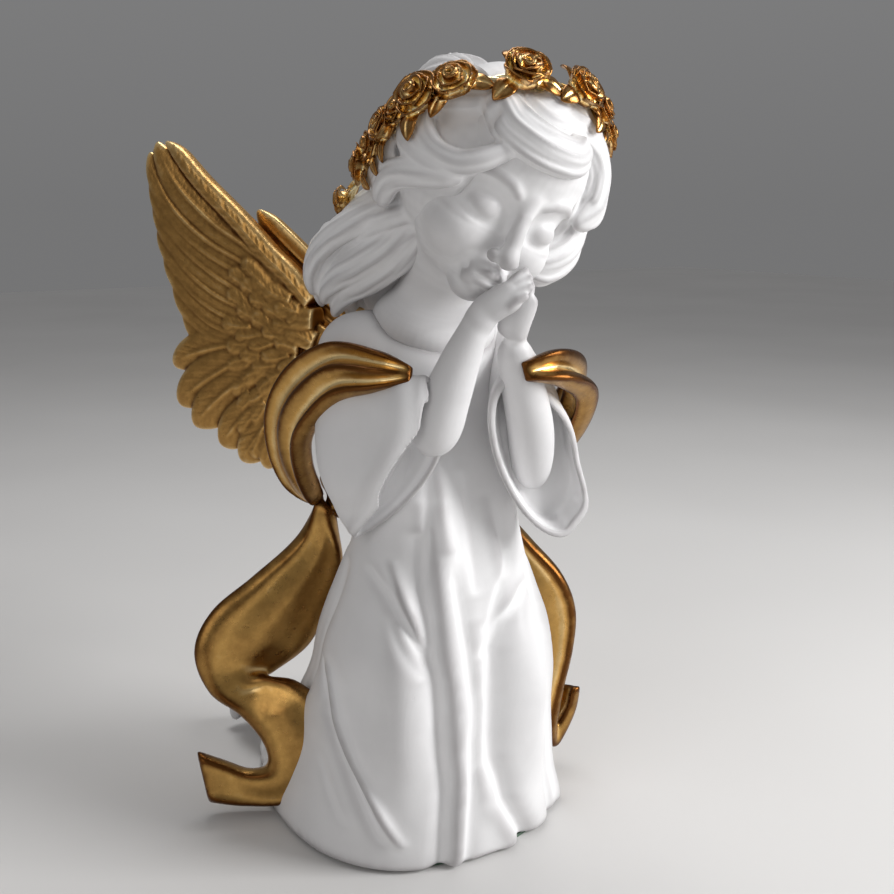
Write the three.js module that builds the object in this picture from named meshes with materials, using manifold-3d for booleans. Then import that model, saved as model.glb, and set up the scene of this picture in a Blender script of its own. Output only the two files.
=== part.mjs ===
// A kneeling angel figurine in cast resin: white gown, head, hair, arms and sleeves, with gold wings, shawl
// and rose wreath. Millimetres, +Z up. The figure kneels on the plane z = 0 and faces -Y; its right hand is on
// the -X side. The origin is on the underside of the base, under the body's vertical axis.
import * as THREE from "three";
import { mergeVertices } from "three/addons/utils/BufferGeometryUtils.js";
import Module from "manifold-3d";

const wasm = await Module();
wasm.setup();

// ---- Driving dimensions ----------------------------------------------------------------------------------
const GAP = 0.3; // left between pieces that touch
const WALL = 6; // thickness of the hollow gown casting
const FELT = 1.0; // thickness of the felt under the base
const SEAT = FELT + GAP; // height of the casting's underside
const PLATE = 3; // thickness of the plate that closes the casting
const CORE_TOP = 112; // the casting is solid above this height
const SLEEVE_WALL = 2.4;
const HEAD = { at: [15, -33, 257], yaw: -10, pitch: 20, roll: 24 }; // centre of the skull, turned in degrees
const CROWN = { at: [0, 3, 0], radii: [38, 41, 37] }; // the cap of hair, in the head's frame
const CENTRE_X = 4; // the wings and feet mirror about this plane

const WHITE = { color: 0xeceaea, roughness: 0.55, metalness: 0 };
const GOLD = { color: 0xa8773a, roughness: 0.35, metalness: 0.9 };
const GREEN = { color: 0x2f4a38, roughness: 0.95, metalness: 0 };
const BOARD = { color: 0x8d7a63, roughness: 0.8, metalness: 0 };

// ---- Solids from stations --------------------------------------------------------------------------------
const vec = (p) => new THREE.Vector3(...p);
const mirrored = ([x, y, z]) => [2 * CENTRE_X - x, y, z];
const flipped = ([x, y, z]) => [-x, y, z];

// A closed BufferGeometry as a manifold solid, turned to face outwards.
function solid(geometry) {
  const bare = geometry.clone();
  bare.deleteAttribute("normal");
  bare.deleteAttribute("uv");
  const merged = mergeVertices(bare, 1e-4);
  const make = (triVerts) => {
    const vertProperties = merged.attributes.position.array;
    return new wasm.Manifold(new wasm.Mesh({ numProp: 3, vertProperties, triVerts }));
  };
  const corners = new Uint32Array(merged.index.array);
  const made = make(corners);
  return made.volume() > 0 ? made : make(corners.reverse());
}

function geometryOf(made) {
  const { vertProperties, triVerts } = made.getMesh();
  const geometry = new THREE.BufferGeometry();
  geometry.setAttribute("position", new THREE.BufferAttribute(vertProperties, 3));
  geometry.setIndex(new THREE.BufferAttribute(triVerts, 1));
  geometry.computeVertexNormals();
  return geometry;
}

// Rings of points, one after the other, joined into a closed skin with a fan on each end.
function skin(rings) {
  const sides = rings[0].length;
  const middle = (ring) => ring.reduce((sum, p) => sum.add(p), new THREE.Vector3()).divideScalar(sides);
  const points = [...rings.flat(), middle(rings[0]), middle(rings.at(-1))];
  const [first, last] = [points.length - 2, points.length - 1];
  const corners = [];
  rings.forEach((ring, i) => {
    ring.forEach((_, j) => {
      const [a, b] = [i * sides + j, i * sides + ((j + 1) % sides)];
      if (i === 0) corners.push(first, b, a);
      if (i === rings.length - 1) corners.push(last, a, b);
      else corners.push(a, b, b + sides, a, b + sides, a + sides);
    });
  });
  const geometry = new THREE.BufferGeometry().setFromPoints(points);
  return geometry.setIndex(corners);
}

// A smooth body through stations. Each station has its middle `at` and two half-axes `a` and `b`.
function body(stations, { steps = 12, sides = 12, grow = 0 } = {}) {
  const curve = (key) => new THREE.CatmullRomCurve3(stations.map((s) => vec(s[key])));
  const [at, a, b] = [curve("at"), curve("a"), curve("b")];
  const rings = [];
  for (let i = 0; i <= steps; i++) {
    const t = i / steps;
    const middle = at.getPoint(t);
    if (i === 0 || i === steps) middle.addScaledVector(at.getTangent(t), i ? grow : -grow);
    const [wide, tall] = [a.getPoint(t), b.getPoint(t)];
    wide.setLength(wide.length() + grow);
    tall.setLength(tall.length() + grow);
    rings.push(
      Array.from({ length: sides }, (_, j) => {
        const turn = (2 * Math.PI * j) / sides;
        return middle.clone().addScaledVector(wide, Math.cos(turn)).addScaledVector(tall, Math.sin(turn));
      }),
    );
  }
  return solid(skin(rings));
}

// Stations of a round limb through points with their radii.
function limb(points, radii) {
  const path = new THREE.CatmullRomCurve3(points.map(vec));
  return points.map((at, i) => {
    const along = path.getTangent(i / (points.length - 1));
    const a = new THREE.Vector3(0, 0, 1).cross(along).setLength(radii[i]);
    const b = along.clone().cross(a).setLength(radii[i]);
    return { at, a: a.toArray(), b: b.toArray() };
  });
}

// Stations of a flat band: each has its middle, the half-width vector across it and its thickness.
function band(rows) {
  const path = new THREE.CatmullRomCurve3(rows.map(([at]) => vec(at)));
  return rows.map(([at, a, thick], i) => {
    const along = path.getTangent(i / (rows.length - 1));
    const b = along.cross(vec(a)).setLength(thick / 2);
    return { at, a, b: b.toArray() };
  });
}

// The same band given by its two edges and thickness.
function edged(rows) {
  return band(
    rows.map(([one, other, thick]) => {
      const middle = vec(one).add(vec(other)).multiplyScalar(0.5);
      return [middle.toArray(), vec(one).sub(middle).toArray(), thick];
    }),
  );
}

function mirrorStations(stations) {
  return stations.map(({ at, a, b }) => ({ at: mirrored(at), a: flipped(a), b: flipped(b) }));
}

// ---- The head's own frame: -Y is where the face looks, +Z its crown ---------------------------------------
const rad = THREE.MathUtils.degToRad;
const headFrame = new THREE.Matrix4()
  .makeTranslation(...HEAD.at)
  .multiply(new THREE.Matrix4().makeRotationZ(rad(HEAD.yaw)))
  .multiply(new THREE.Matrix4().makeRotationX(rad(HEAD.pitch)))
  .multiply(new THREE.Matrix4().makeRotationY(rad(HEAD.roll)));
const onHead = (p) => vec(p).applyMatrix4(headFrame).toArray();

// An ellipsoid in the head's frame.
function headBall(centre, radii, grow, detail = 20) {
  const ball = new THREE.SphereGeometry(1, detail, Math.round(detail * 0.7));
  ball.scale(...radii.map((r) => r + grow));
  ball.translate(...centre);
  return solid(ball.applyMatrix4(headFrame));
}

// ---- Gown ------------------------------------------------------------------------------------------------
// Height, middle x and y, half-width, reach to the front and to the back of the middle.
const GOWN = [
  [SEAT, 3, 6, 58, 58, 84],
  [8, 3, 6, 56, 58.5, 82],
  [20, 3, 5, 52, 57, 74],
  [34, 4, 3, 49, 54.5, 60],
  [48, 4, 0, 47.5, 51, 47],
  [64, 5, -4, 46.5, 46, 38],
  [82, 4, -8, 44, 40.5, 34],
  [100, 4, -11, 38, 34, 33],
  [118, 4, -12, 33, 30, 29],
  [136, 4, -12, 30, 27, 26],
  [156, 4, -10, 29, 25, 26],
  [176, 4, -7, 31, 23, 25],
  [190, 4, -4, 33, 20, 22],
  [199, 4, -2, 28, 16, 18],
  [205, 4, -1, 20, 12, 13],
  [208, 4, -1, 10, 6, 7],
];
const GOWN_SQUARE = 0.86; // under 1 makes the outline fuller than an ellipse

function gownAt(height) {
  const above = Math.max(1, GOWN.findIndex(([z]) => z >= height));
  const [low, high] = [GOWN[above - 1], GOWN[above]];
  const share = (height - low[0]) / (high[0] - low[0]);
  return low.map((value, i) => THREE.MathUtils.lerp(value, high[i], share));
}

function gownRing([z, x, y, half, front, back], grow, sides) {
  const full = (v) => Math.sign(v) * Math.abs(v) ** GOWN_SQUARE;
  return Array.from({ length: sides }, (_, j) => {
    const turn = (2 * Math.PI * j) / sides;
    const deep = Math.sin(turn) < 0 ? front : back;
    const [across, along] = [(half + grow) * full(Math.cos(turn)), (deep + grow) * full(Math.sin(turn))];
    return new THREE.Vector3(x + across, y + along, z);
  });
}

function gownSolid(grow = 0, sides = 26) {
  const rings = GOWN.map((row, i) => {
    const z = i === 0 ? row[0] - grow : i === GOWN.length - 1 ? row[0] + grow : row[0];
    return gownRing([z, ...row.slice(1)], grow, sides);
  });
  return solid(skin(rings));
}

function gownCore() {
  const heights = [SEAT - 5, SEAT, 8, 20, 34, 48, 64, 82, CORE_TOP];
  const rings = heights.map((z) => {
    const row = gownAt(Math.max(z, SEAT));
    return gownRing([z, ...row.slice(1)], -WALL, 16);
  });
  return solid(skin(rings));
}

// A flat slab with the gown's outline at height `like`, drawn in by `inset`.
function footSlab(low, high, like, inset) {
  const row = gownAt(like).slice(1);
  return solid(skin([low, high].map((z) => gownRing([z, ...row], -inset, 18))));
}

// The board lies in a rebate round the mouth of the hollow.
function plateSlab(grow = 0) {
  return footSlab(SEAT - grow, SEAT + PLATE + grow, SEAT + PLATE, WALL - 2 - grow);
}

// ---- Head and hair ---------------------------------------------------------------------------------------
const NECK = limb([[4, -1, 190], [4.5, -4, 206], [7, -12, 222], [10, -22, 240]], [15, 13.5, 13.5, 16]);

const neck = (grow) => body(NECK, { steps: 6, sides: 16, grow });

const headSolid = (grow = 0) =>
  headBall([0, 0, 2], [31, 34, 33], grow, 16)
    .add(headBall([0, -12, -14], [23, 22, 24], grow, 14))
    .add(headBall([0, -33, -12], [4, 6, 6], grow, 8))
    .add(neck(grow));

const hairCrown = (grow = 0) =>
  headBall(CROWN.at, CROWN.radii, grow, 20).subtract(headBall([0, -44, -22], [26, 33, 36], -grow, 14));

const FRINGE = limb(
  [[-35, -16, -2], [-26, -31, 11], [-5, -38, 17], [18, -34, 15], [32, -22, 4]].map(onHead),
  [6, 8, 8.5, 8, 6],
);
const FALL = limb(
  [[-9, -14, 254], [-13, -2, 243], [-17, 10, 231], [-19, 19, 217], [-17, 24, 204]],
  [13, 15, 15, 14, 8],
);
const BOB = limb([[29, 2, 6], [34, -4, -8], [34, -10, -22], [29, -14, -34]].map(onHead), [11, 11, 9.5, 5]);
const NAPE = limb([[12, -14, 250], [10, -5, 238], [7, 6, 225], [3, 14, 210]], [18, 20, 18, 10]);

const lock = (stations, sides = 10) => (grow = 0) => body(stations, { steps: 6, sides, grow });

// ---- Arms, hands and sleeves -----------------------------------------------------------------------------
const FOREARM = limb(
  [[-13.5, -39.5, 166], [-9, -46, 179], [-4.5, -51.5, 192], [-1.5, -55, 202]],
  [9, 9, 7.6, 6.2],
);
// The palms meet on a slanting plane under the chin, fingers up and to the figure's left.
const HAND_RIGHT = [
  { at: [-2.2, -56.5, 203.5], a: [0.5, 3, 3.9], b: [-3.5, -1.9, 1.9] },
  { at: [-0.5, -58.8, 208], a: [0.6, 3.6, 4.7], b: [-3.2, -1.7, 1.7] },
  { at: [2.5, -61.5, 212.5], a: [0.6, 3.6, 4.7], b: [-2.8, -1.5, 1.5] },
  { at: [6.5, -64.2, 217], a: [0.4, 2.4, 3.1], b: [-2.2, -1.2, 1.2] },
];
const PALMS_APART = 8.4;
const HAND_LEFT = HAND_RIGHT.map(({ at, a, b }) => {
  const side = vec(b).normalize().multiplyScalar(-PALMS_APART);
  return { at: vec(at).add(side).toArray(), a, b };
});
const FOREARM_LEFT = limb(
  [[27, -44, 150], [23, -48, 168], [16, -52, 188], [8.5, -54, 204]],
  [8, 8.6, 7.4, 6],
);

const arm = (stations, grow) => body(stations, { steps: 5, sides: 10, grow });

// Shoulder to rim: round at the shoulder, a tall hanging bell at the rim.
const SLEEVE = [
  { at: [-22, 4, 190], a: [10, 3, 3], b: [-3, 4, 13] },
  { at: [-27, 0, 173], a: [12, 4, 1], b: [-1, 2, 26] },
  { at: [-28, -12, 161], a: [11.5, 3, 0], b: [1, -3, 30] },
  { at: [-25, -26, 158], a: [9, 2, 0], b: [5, -9, 31] },
  { at: [-22, -36, 156], a: [7, -1, -0.5], b: [7, -13, 30] },
];
const SLEEVE_LEFT = [
  { at: [34, 5, 190], a: [10, -3, 3], b: [3, 4, 13] },
  { at: [36, -6, 180], a: [11, -4, 2], b: [0, 3, 20] },
  { at: [35, -21, 169], a: [12, -5, 0], b: [-2, 2, 27] },
  { at: [30, -38, 160], a: [15, -4, -2], b: [-5, 2, 30] },
  { at: [22, -52, 155], a: [18, -3, -4], b: [-8, 2, 30] },
];

function sleeve(stations) {
  return (grow = 0) => body(stations, { steps: 8, sides: 16, grow });
}

// The hollow that opens the sleeve at its rim.
function sleeveHollow(stations) {
  const inner = stations.slice(2);
  const [before, rim] = inner.slice(-2).map(({ at }) => vec(at));
  const beyond = rim.clone().add(rim.clone().sub(before).setLength(3)).toArray();
  return body([...inner, { ...inner.at(-1), at: beyond }], { steps: 5, sides: 14, grow: -SLEEVE_WALL });
}

// ---- Feet ------------------------------------------------------------------------------------------------
const FOOT = [
  { at: [-30, 78, 17], a: [9, 0, 0], b: [0, 3, 8] },
  { at: [-31, 88, 16], a: [10, 0, 0], b: [0, 2, 9] },
  { at: [-32, 97, 13], a: [10.5, 0, 0], b: [0, 2, 9] },
  { at: [-33, 105, 8], a: [10, 0, 0], b: [0, 1, 6] },
];
const foot = (stations) => (grow = 0) => body(stations, { steps: 4, sides: 10, grow });

// ---- Wings -----------------------------------------------------------------------------------------------
// Chords from the root edge to the trailing edge, from the lowest feather to the tip.
const WING = band([
  [[-26, 42, 142], [-8, 14, -3], 4],
  [[-36, 58, 153], [-19, 31, -6], 6],
  [[-38, 62, 175], [-25, 41, -5], 7],
  [[-31, 51, 195], [-20, 33, -5], 8],
  [[-36, 60, 210], [-18, 30, -4], 7.5],
  [[-46, 78, 229], [-14, 23, -4], 6],
  [[-53, 90, 245], [-9.5, 16, -1], 5],
  [[-58, 99, 259], [-5.5, 9, -0.5], 4],
  [[-61, 104, 270], [-1.5, 2.5, 0], 2.5],
]);
const PLUME = band([
  [[-9, 28, 204], [-2, 4, -9], 5],
  [[-16, 41, 217], [-3, 4, -10], 5],
  [[-25, 56, 231], [-2, 3, -9.5], 4.5],
  [[-33, 70, 242], [-1, 2, -6], 3],
]);
// A tenon on the wing's root, glued into a socket in the back.
const TENON = limb([[-8, 8, 184], [-11, 18, 186], [-17, 32, 189]], [5, 5, 6.5]);

const tenon = (stations, grow) => body(stations, { steps: 3, sides: 12, grow });

// ---- Shawl -----------------------------------------------------------------------------------------------
const LOOP_RIGHT = edged([
  [[-21, -38, 190], [-23, -40, 185], 4],
  [[-28, -29, 195], [-33, -30, 181], 6],
  [[-35, -8, 196], [-41, -18, 177], 8],
  [[-42, 11, 187], [-45, -5, 166], 8],
  [[-46, 24, 171], [-45, 3, 157], 8],
  [[-44, 30, 153], [-40, 12, 145], 8],
  [[-37, 33, 138], [-33, 20, 134], 8],
  [[-26, 32, 127], [-28, 26, 128], 6],
]);
const LOOP_LEFT = edged([
  [[10, -59, 192], [11, -60.5, 185.5], 4],
  [[25, -56.5, 195], [27, -61, 182.5], 6],
  [[42, -45, 189], [43, -54, 175], 8],
  [[51, -31, 177], [49, -43, 162], 8],
  [[54, -15, 164], [50, -29, 148], 8],
  [[52, 3, 152], [47, -13, 138], 8],
  [[46, 20, 142], [42, 4, 130], 8],
  [[35, 28, 134], [33, 18, 124], 6],
]);
const SWAG = band([
  [[-21, 27, 130], [0, 2, 7], 6],
  [[-10, 28, 125], [0, 2, 9], 7],
  [[4, 29, 122], [0, 2, 10], 7],
  [[18, 28, 125], [0, 2, 9], 7],
  [[28, 24, 131], [0, 2, 7], 6],
]);
const TAIL_RIGHT = edged([
  [[-26, 30, 130], [-24, 24, 124], 6],
  [[-35, 34, 112], [-17, 28, 101], 7],
  [[-53, 38, 97], [-22, 31, 82], 7],
  [[-70, 40, 85], [-30, 35, 64], 6],
  [[-78, 40, 70], [-45, 38, 54], 6],
  [[-74, 37, 52], [-50, 31, 56], 6],
  [[-64, 31, 42], [-42, 22, 55], 6],
  [[-58, 25, 33], [-34, 13, 46], 6],
  [[-56, 22, 25], [-32, 10, 30], 6],
  [[-58, 23, 20], [-36, 12, 13], 6],
  [[-64, 28, 19], [-48, 17, 4.5], 6],
  [[-72, 34, 23], [-64, 26, 3.5], 6],
  [[-80, 39, 27], [-78, 33, 6], 5],
]);
const TAIL_LEFT = edged([
  [[44, 8, 124], [38, 14, 116], 6],
  [[54, -8, 106], [44, 8, 100], 6],
  [[64, -16, 92], [48, 6, 84], 7],
  [[70, -18, 76], [51, 4, 66], 7],
  [[69, -18, 58], [52, 2, 50], 6],
  [[65, -17, 40], [54, 2, 34], 6],
  [[62, -16, 22], [56, 3, 18], 6],
  [[66, -14, 15], [60, 4, 12], 6],
  [[75, -13, 26], [69, 2, 24], 6],
  [[77, -14, 38], [70, 0, 36], 5],
]);

const ribbon = (stations, steps, sides = 8) => (grow = 0) => body(stations, { steps, sides, grow });

// ---- Wreath ----------------------------------------------------------------------------------------------
// The ring lies on the hair: a plane through the head, pushed back from the brow.
const WREATH = { at: [11, -27, 264], lean: [0.21, 0.54, 0.815], stem: 2.2, out: 2.4 };
// Each rose: where it sits round the ring in degrees, its size and how far it stands out.
const ROSES = [
  [150, 7.6, 5],
  [168, 6.6, 3],
  [184, 7, 2],
  [198, 6.4, 2.5],
  [211, 8.8, 2],
  [231, 8.4, 2],
  [266, 8.6, 2],
  [298, 8.8, 3],
  [315, 8, 3],
  [334, 7.8, 2.5],
  [8, 8, 2],
  [48, 8, 7],
  [84, 8, 16],
  [120, 7.6, 18],
];
const wreathAxis = vec(WREATH.lean).normalize();
const wreathX = new THREE.Vector3(1, 0, 0).addScaledVector(wreathAxis, -wreathAxis.x).normalize();
const wreathY = wreathAxis.clone().cross(wreathX);

// The point of the hair under one angle of the ring, and the direction straight out of the hair there.
function onWreath(angle, out = 0) {
  const turn = rad(angle);
  const inHead = headFrame.clone().invert();
  const ring = vec(WREATH.at)
    .addScaledVector(wreathX, 42 * Math.cos(turn))
    .addScaledVector(wreathY, 42 * Math.sin(turn));
  const radii = vec(CROWN.radii);
  const local = ring.applyMatrix4(inHead).sub(vec(CROWN.at)).divide(radii).normalize();
  const normal = local.clone().divide(radii).normalize();
  const at = local.multiply(radii).add(vec(CROWN.at)).addScaledVector(normal, out);
  return { at: at.applyMatrix4(headFrame), normal: normal.transformDirection(headFrame) };
}

// A closed ring of round sections round the hair.
function wreathStem(grow = 0) {
  const [steps, sides] = [36, 6];
  const points = [];
  const corners = [];
  for (let i = 0; i < steps; i++) {
    const { at, normal } = onWreath((360 * i) / steps, WREATH.out);
    const ahead = onWreath((360 * (i + 1)) / steps, WREATH.out).at.sub(at);
    const across = ahead.cross(normal).normalize();
    for (let j = 0; j < sides; j++) {
      const turn = (2 * Math.PI * j) / sides;
      const r = WREATH.stem + grow;
      const spoke = normal.clone().multiplyScalar(r * Math.cos(turn));
      spoke.addScaledVector(across, r * Math.sin(turn));
      points.push(at.clone().add(spoke));
      const [a, b] = [i * sides + j, i * sides + ((j + 1) % sides)];
      const [c, d] = [a, b].map((k) => (k + sides) % (steps * sides));
      corners.push(a, b, d, a, d, c);
    }
  }
  return solid(new THREE.BufferGeometry().setFromPoints(points).setIndex(corners));
}

// A rose is a squat cup with a domed heart, its mouth facing out from the head.
const ROSE_OUTLINE = [[0, -0.6], [0.7, -0.4], [1, 0.3], [0.75, 0.6], [0.5, 0.4], [0, 0.7]];

function rose([angle, size, out]) {
  return (grow = 0) => {
    const r = size + grow;
    const outline = ROSE_OUTLINE.map(([across, up]) => new THREE.Vector2(across * r, up * r));
    const cup = new THREE.LatheGeometry(outline, 10);
    const { at, normal } = onWreath(angle, out);
    cup.applyQuaternion(new THREE.Quaternion().setFromUnitVectors(new THREE.Vector3(0, 1, 0), normal));
    return solid(cup.translate(at.x, at.y, at.z));
  };
}

// ---- Assembly --------------------------------------------------------------------------------------------
// Each piece is cut by the grown shapes of the pieces before it that it touches.
const shapes = new Map();
const group = new THREE.Group();

function add(name, material, shape, { cutBy = [], pockets = [] } = {}) {
  shapes.set(name, shape);
  let made = shape(0);
  for (const other of cutBy) made = made.subtract(shapes.get(other)(GAP));
  for (const pocket of pockets) made = made.subtract(pocket);
  if (made.isEmpty()) throw new Error(`${name} is empty`);
  const mesh = new THREE.Mesh(largestPiece(geometryOf(made)), new THREE.MeshStandardMaterial(material));
  mesh.name = name;
  group.add(mesh);
}

// Cutting can leave crumbs beside the piece itself, so only the largest connected surface is kept.
function largestPiece(geometry) {
  const corners = geometry.index.array;
  const owner = Array.from({ length: geometry.attributes.position.count }, (_, i) => i);
  const find = (i) => {
    while (owner[i] !== i) i = owner[i] = owner[owner[i]];
    return i;
  };
  const triangles = [];
  for (let i = 0; i < corners.length; i += 3) {
    const [a, b, c] = [corners[i], corners[i + 1], corners[i + 2]];
    triangles.push([a, b, c]);
    owner[find(a)] = find(b);
    owner[find(b)] = find(c);
  }
  const counts = new Map();
  for (const [a] of triangles) counts.set(find(a), (counts.get(find(a)) ?? 0) + 1);
  const kept = [...counts].reduce((best, entry) => (entry[1] > best[1] ? entry : best))[0];
  geometry.setIndex(triangles.filter(([a]) => find(a) === kept).flat());
  return geometry;
}

const mirrorTenon = mirrorStations(TENON);
const wingWith = (blade, root) => (grow = 0) => ribbon(blade, 14, 10)(grow).add(tenon(root, grow));

add("gown_shell", WHITE, gownSolid, {
  pockets: [gownCore(), plateSlab(GAP), neck(GAP), tenon(TENON, GAP), tenon(mirrorTenon, GAP)],
});
add("base_plate", BOARD, plateSlab);
add("base_felt", GREEN, () => footSlab(0, FELT, SEAT, 3));
add("foot_right", WHITE, foot(FOOT), { cutBy: ["gown_shell"] });
add("foot_left", WHITE, foot(mirrorStations(FOOT)), { cutBy: ["gown_shell", "foot_right"] });
add("head", WHITE, headSolid);
add("forearm_right", WHITE, (grow = 0) => arm(FOREARM, grow), { cutBy: ["gown_shell", "head"] });
add("forearm_left", WHITE, (grow = 0) => arm(FOREARM_LEFT, grow), {
  cutBy: ["gown_shell", "head", "forearm_right"],
});
add("hand_right", WHITE, (grow = 0) => body(HAND_RIGHT, { steps: 6, sides: 10, grow }), {
  cutBy: ["head", "forearm_right", "forearm_left"],
});
add("hand_left", WHITE, (grow = 0) => body(HAND_LEFT, { steps: 6, sides: 10, grow }), {
  cutBy: ["head", "forearm_right", "forearm_left", "hand_right"],
});
add("hair_crown", WHITE, hairCrown, { cutBy: ["head"] });
add("hair_fringe", WHITE, lock(FRINGE), { cutBy: ["head", "hair_crown"] });
add("hair_fall_right", WHITE, lock(FALL, 12), { cutBy: ["head", "gown_shell", "hair_crown"] });
add("hair_nape", WHITE, lock(NAPE, 12), { cutBy: ["head", "gown_shell", "hair_crown", "hair_fall_right"] });
add("hair_bob_left", WHITE, lock(BOB), { cutBy: ["head", "gown_shell", "hair_crown", "hair_nape"] });

const bare = ["gown_shell", "head", "forearm_right", "forearm_left", "hand_right", "hand_left"];
const hair = ["hair_crown", "hair_fringe", "hair_fall_right", "hair_nape", "hair_bob_left"];
add("sleeve_right", WHITE, sleeve(SLEEVE), { cutBy: [...bare, ...hair], pockets: [sleeveHollow(SLEEVE)] });
add("sleeve_left", WHITE, sleeve(SLEEVE_LEFT), {
  cutBy: [...bare, ...hair, "sleeve_right"],
  pockets: [sleeveHollow(SLEEVE_LEFT)],
});

const white = [...bare, ...hair, "sleeve_right", "sleeve_left"];
const notSocketed = white.filter((name) => name !== "gown_shell");
const trimWing = (shape, root) => (grow = 0) =>
  shape(grow).subtract(gownSolid(GAP - grow)).add(tenon(root, grow));
add("wing_right", GOLD, trimWing(wingWith(WING, TENON), TENON), { cutBy: notSocketed });
add("wing_left", GOLD, trimWing(wingWith(mirrorStations(WING), mirrorTenon), mirrorTenon), {
  cutBy: [...notSocketed, "wing_right"],
});
add("wing_plume_right", GOLD, ribbon(PLUME, 6), { cutBy: [...white, "wing_right", "wing_left"] });
add("wing_plume_left", GOLD, ribbon(mirrorStations(PLUME), 6), {
  cutBy: [...white, "wing_right", "wing_left", "wing_plume_right"],
});

const wings = ["wing_right", "wing_left", "wing_plume_right", "wing_plume_left"];
add("scarf_loop_right", GOLD, ribbon(LOOP_RIGHT, 14, 10), { cutBy: [...white, ...wings] });
add("scarf_loop_left", GOLD, ribbon(LOOP_LEFT, 14, 10), { cutBy: [...white, ...wings, "scarf_loop_right"] });
const loops = ["scarf_loop_right", "scarf_loop_left"];
add("scarf_back", GOLD, ribbon(SWAG, 8), { cutBy: [...white, ...wings, ...loops] });
add("scarf_tail_right", GOLD, ribbon(TAIL_RIGHT, 26), { cutBy: [...white, ...wings, ...loops, "scarf_back"] });
add("scarf_tail_left", GOLD, ribbon(TAIL_LEFT, 18), { cutBy: [...white, ...wings, ...loops, "scarf_back"] });

ROSES.forEach((row, i) => {
  const name = `rose_${String(i + 1).padStart(2, "0")}`;
  const earlier = ROSES.slice(0, i).map((_, k) => `rose_${String(k + 1).padStart(2, "0")}`);
  add(name, GOLD, rose(row), { cutBy: ["head", ...hair, ...earlier] });
});
const roses = ROSES.map((_, i) => `rose_${String(i + 1).padStart(2, "0")}`);
add("wreath_stem", GOLD, wreathStem, { cutBy: ["head", ...hair, ...roses] });

export default group;
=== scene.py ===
"""A kneeling resin angel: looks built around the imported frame. Lengths in the tables are millimetres."""

import math

import bpy
import numpy as np
import openvdb as vdb
from mathutils import Matrix, Vector


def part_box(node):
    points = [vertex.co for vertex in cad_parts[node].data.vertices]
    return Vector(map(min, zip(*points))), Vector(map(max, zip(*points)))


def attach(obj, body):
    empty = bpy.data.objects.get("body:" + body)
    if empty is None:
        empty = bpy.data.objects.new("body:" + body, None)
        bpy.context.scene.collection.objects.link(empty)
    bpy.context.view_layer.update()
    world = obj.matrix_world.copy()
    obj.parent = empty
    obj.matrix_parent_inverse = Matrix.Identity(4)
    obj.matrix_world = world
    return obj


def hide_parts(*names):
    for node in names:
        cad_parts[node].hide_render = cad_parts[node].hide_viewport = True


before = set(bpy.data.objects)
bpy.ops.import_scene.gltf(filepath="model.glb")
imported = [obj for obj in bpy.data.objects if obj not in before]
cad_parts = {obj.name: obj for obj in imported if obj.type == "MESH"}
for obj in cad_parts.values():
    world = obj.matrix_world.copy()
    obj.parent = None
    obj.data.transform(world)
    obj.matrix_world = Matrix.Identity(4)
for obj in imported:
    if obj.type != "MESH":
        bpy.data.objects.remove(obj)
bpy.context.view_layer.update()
MM = 0.001

# ---- Camera and studio ----
camera = bpy.data.objects.new("camera", bpy.data.cameras.new("camera"))
bpy.context.collection.objects.link(camera)
bpy.context.scene.camera = camera
camera.data.lens = 44.3
camera.data.clip_start = 0.02
camera.location = (-0.2118, -0.3653, 0.245)
AIM = Vector((0.5176, 0.8282, -0.2147))
camera.rotation_euler = AIM.to_track_quat("-Z", "Y").to_euler()
bpy.context.scene.view_settings.view_transform = "Standard"


def unit(v):
    v = np.asarray(v, float)
    return v / (np.linalg.norm(v, axis=-1, keepdims=True) + 1e-12)


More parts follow.
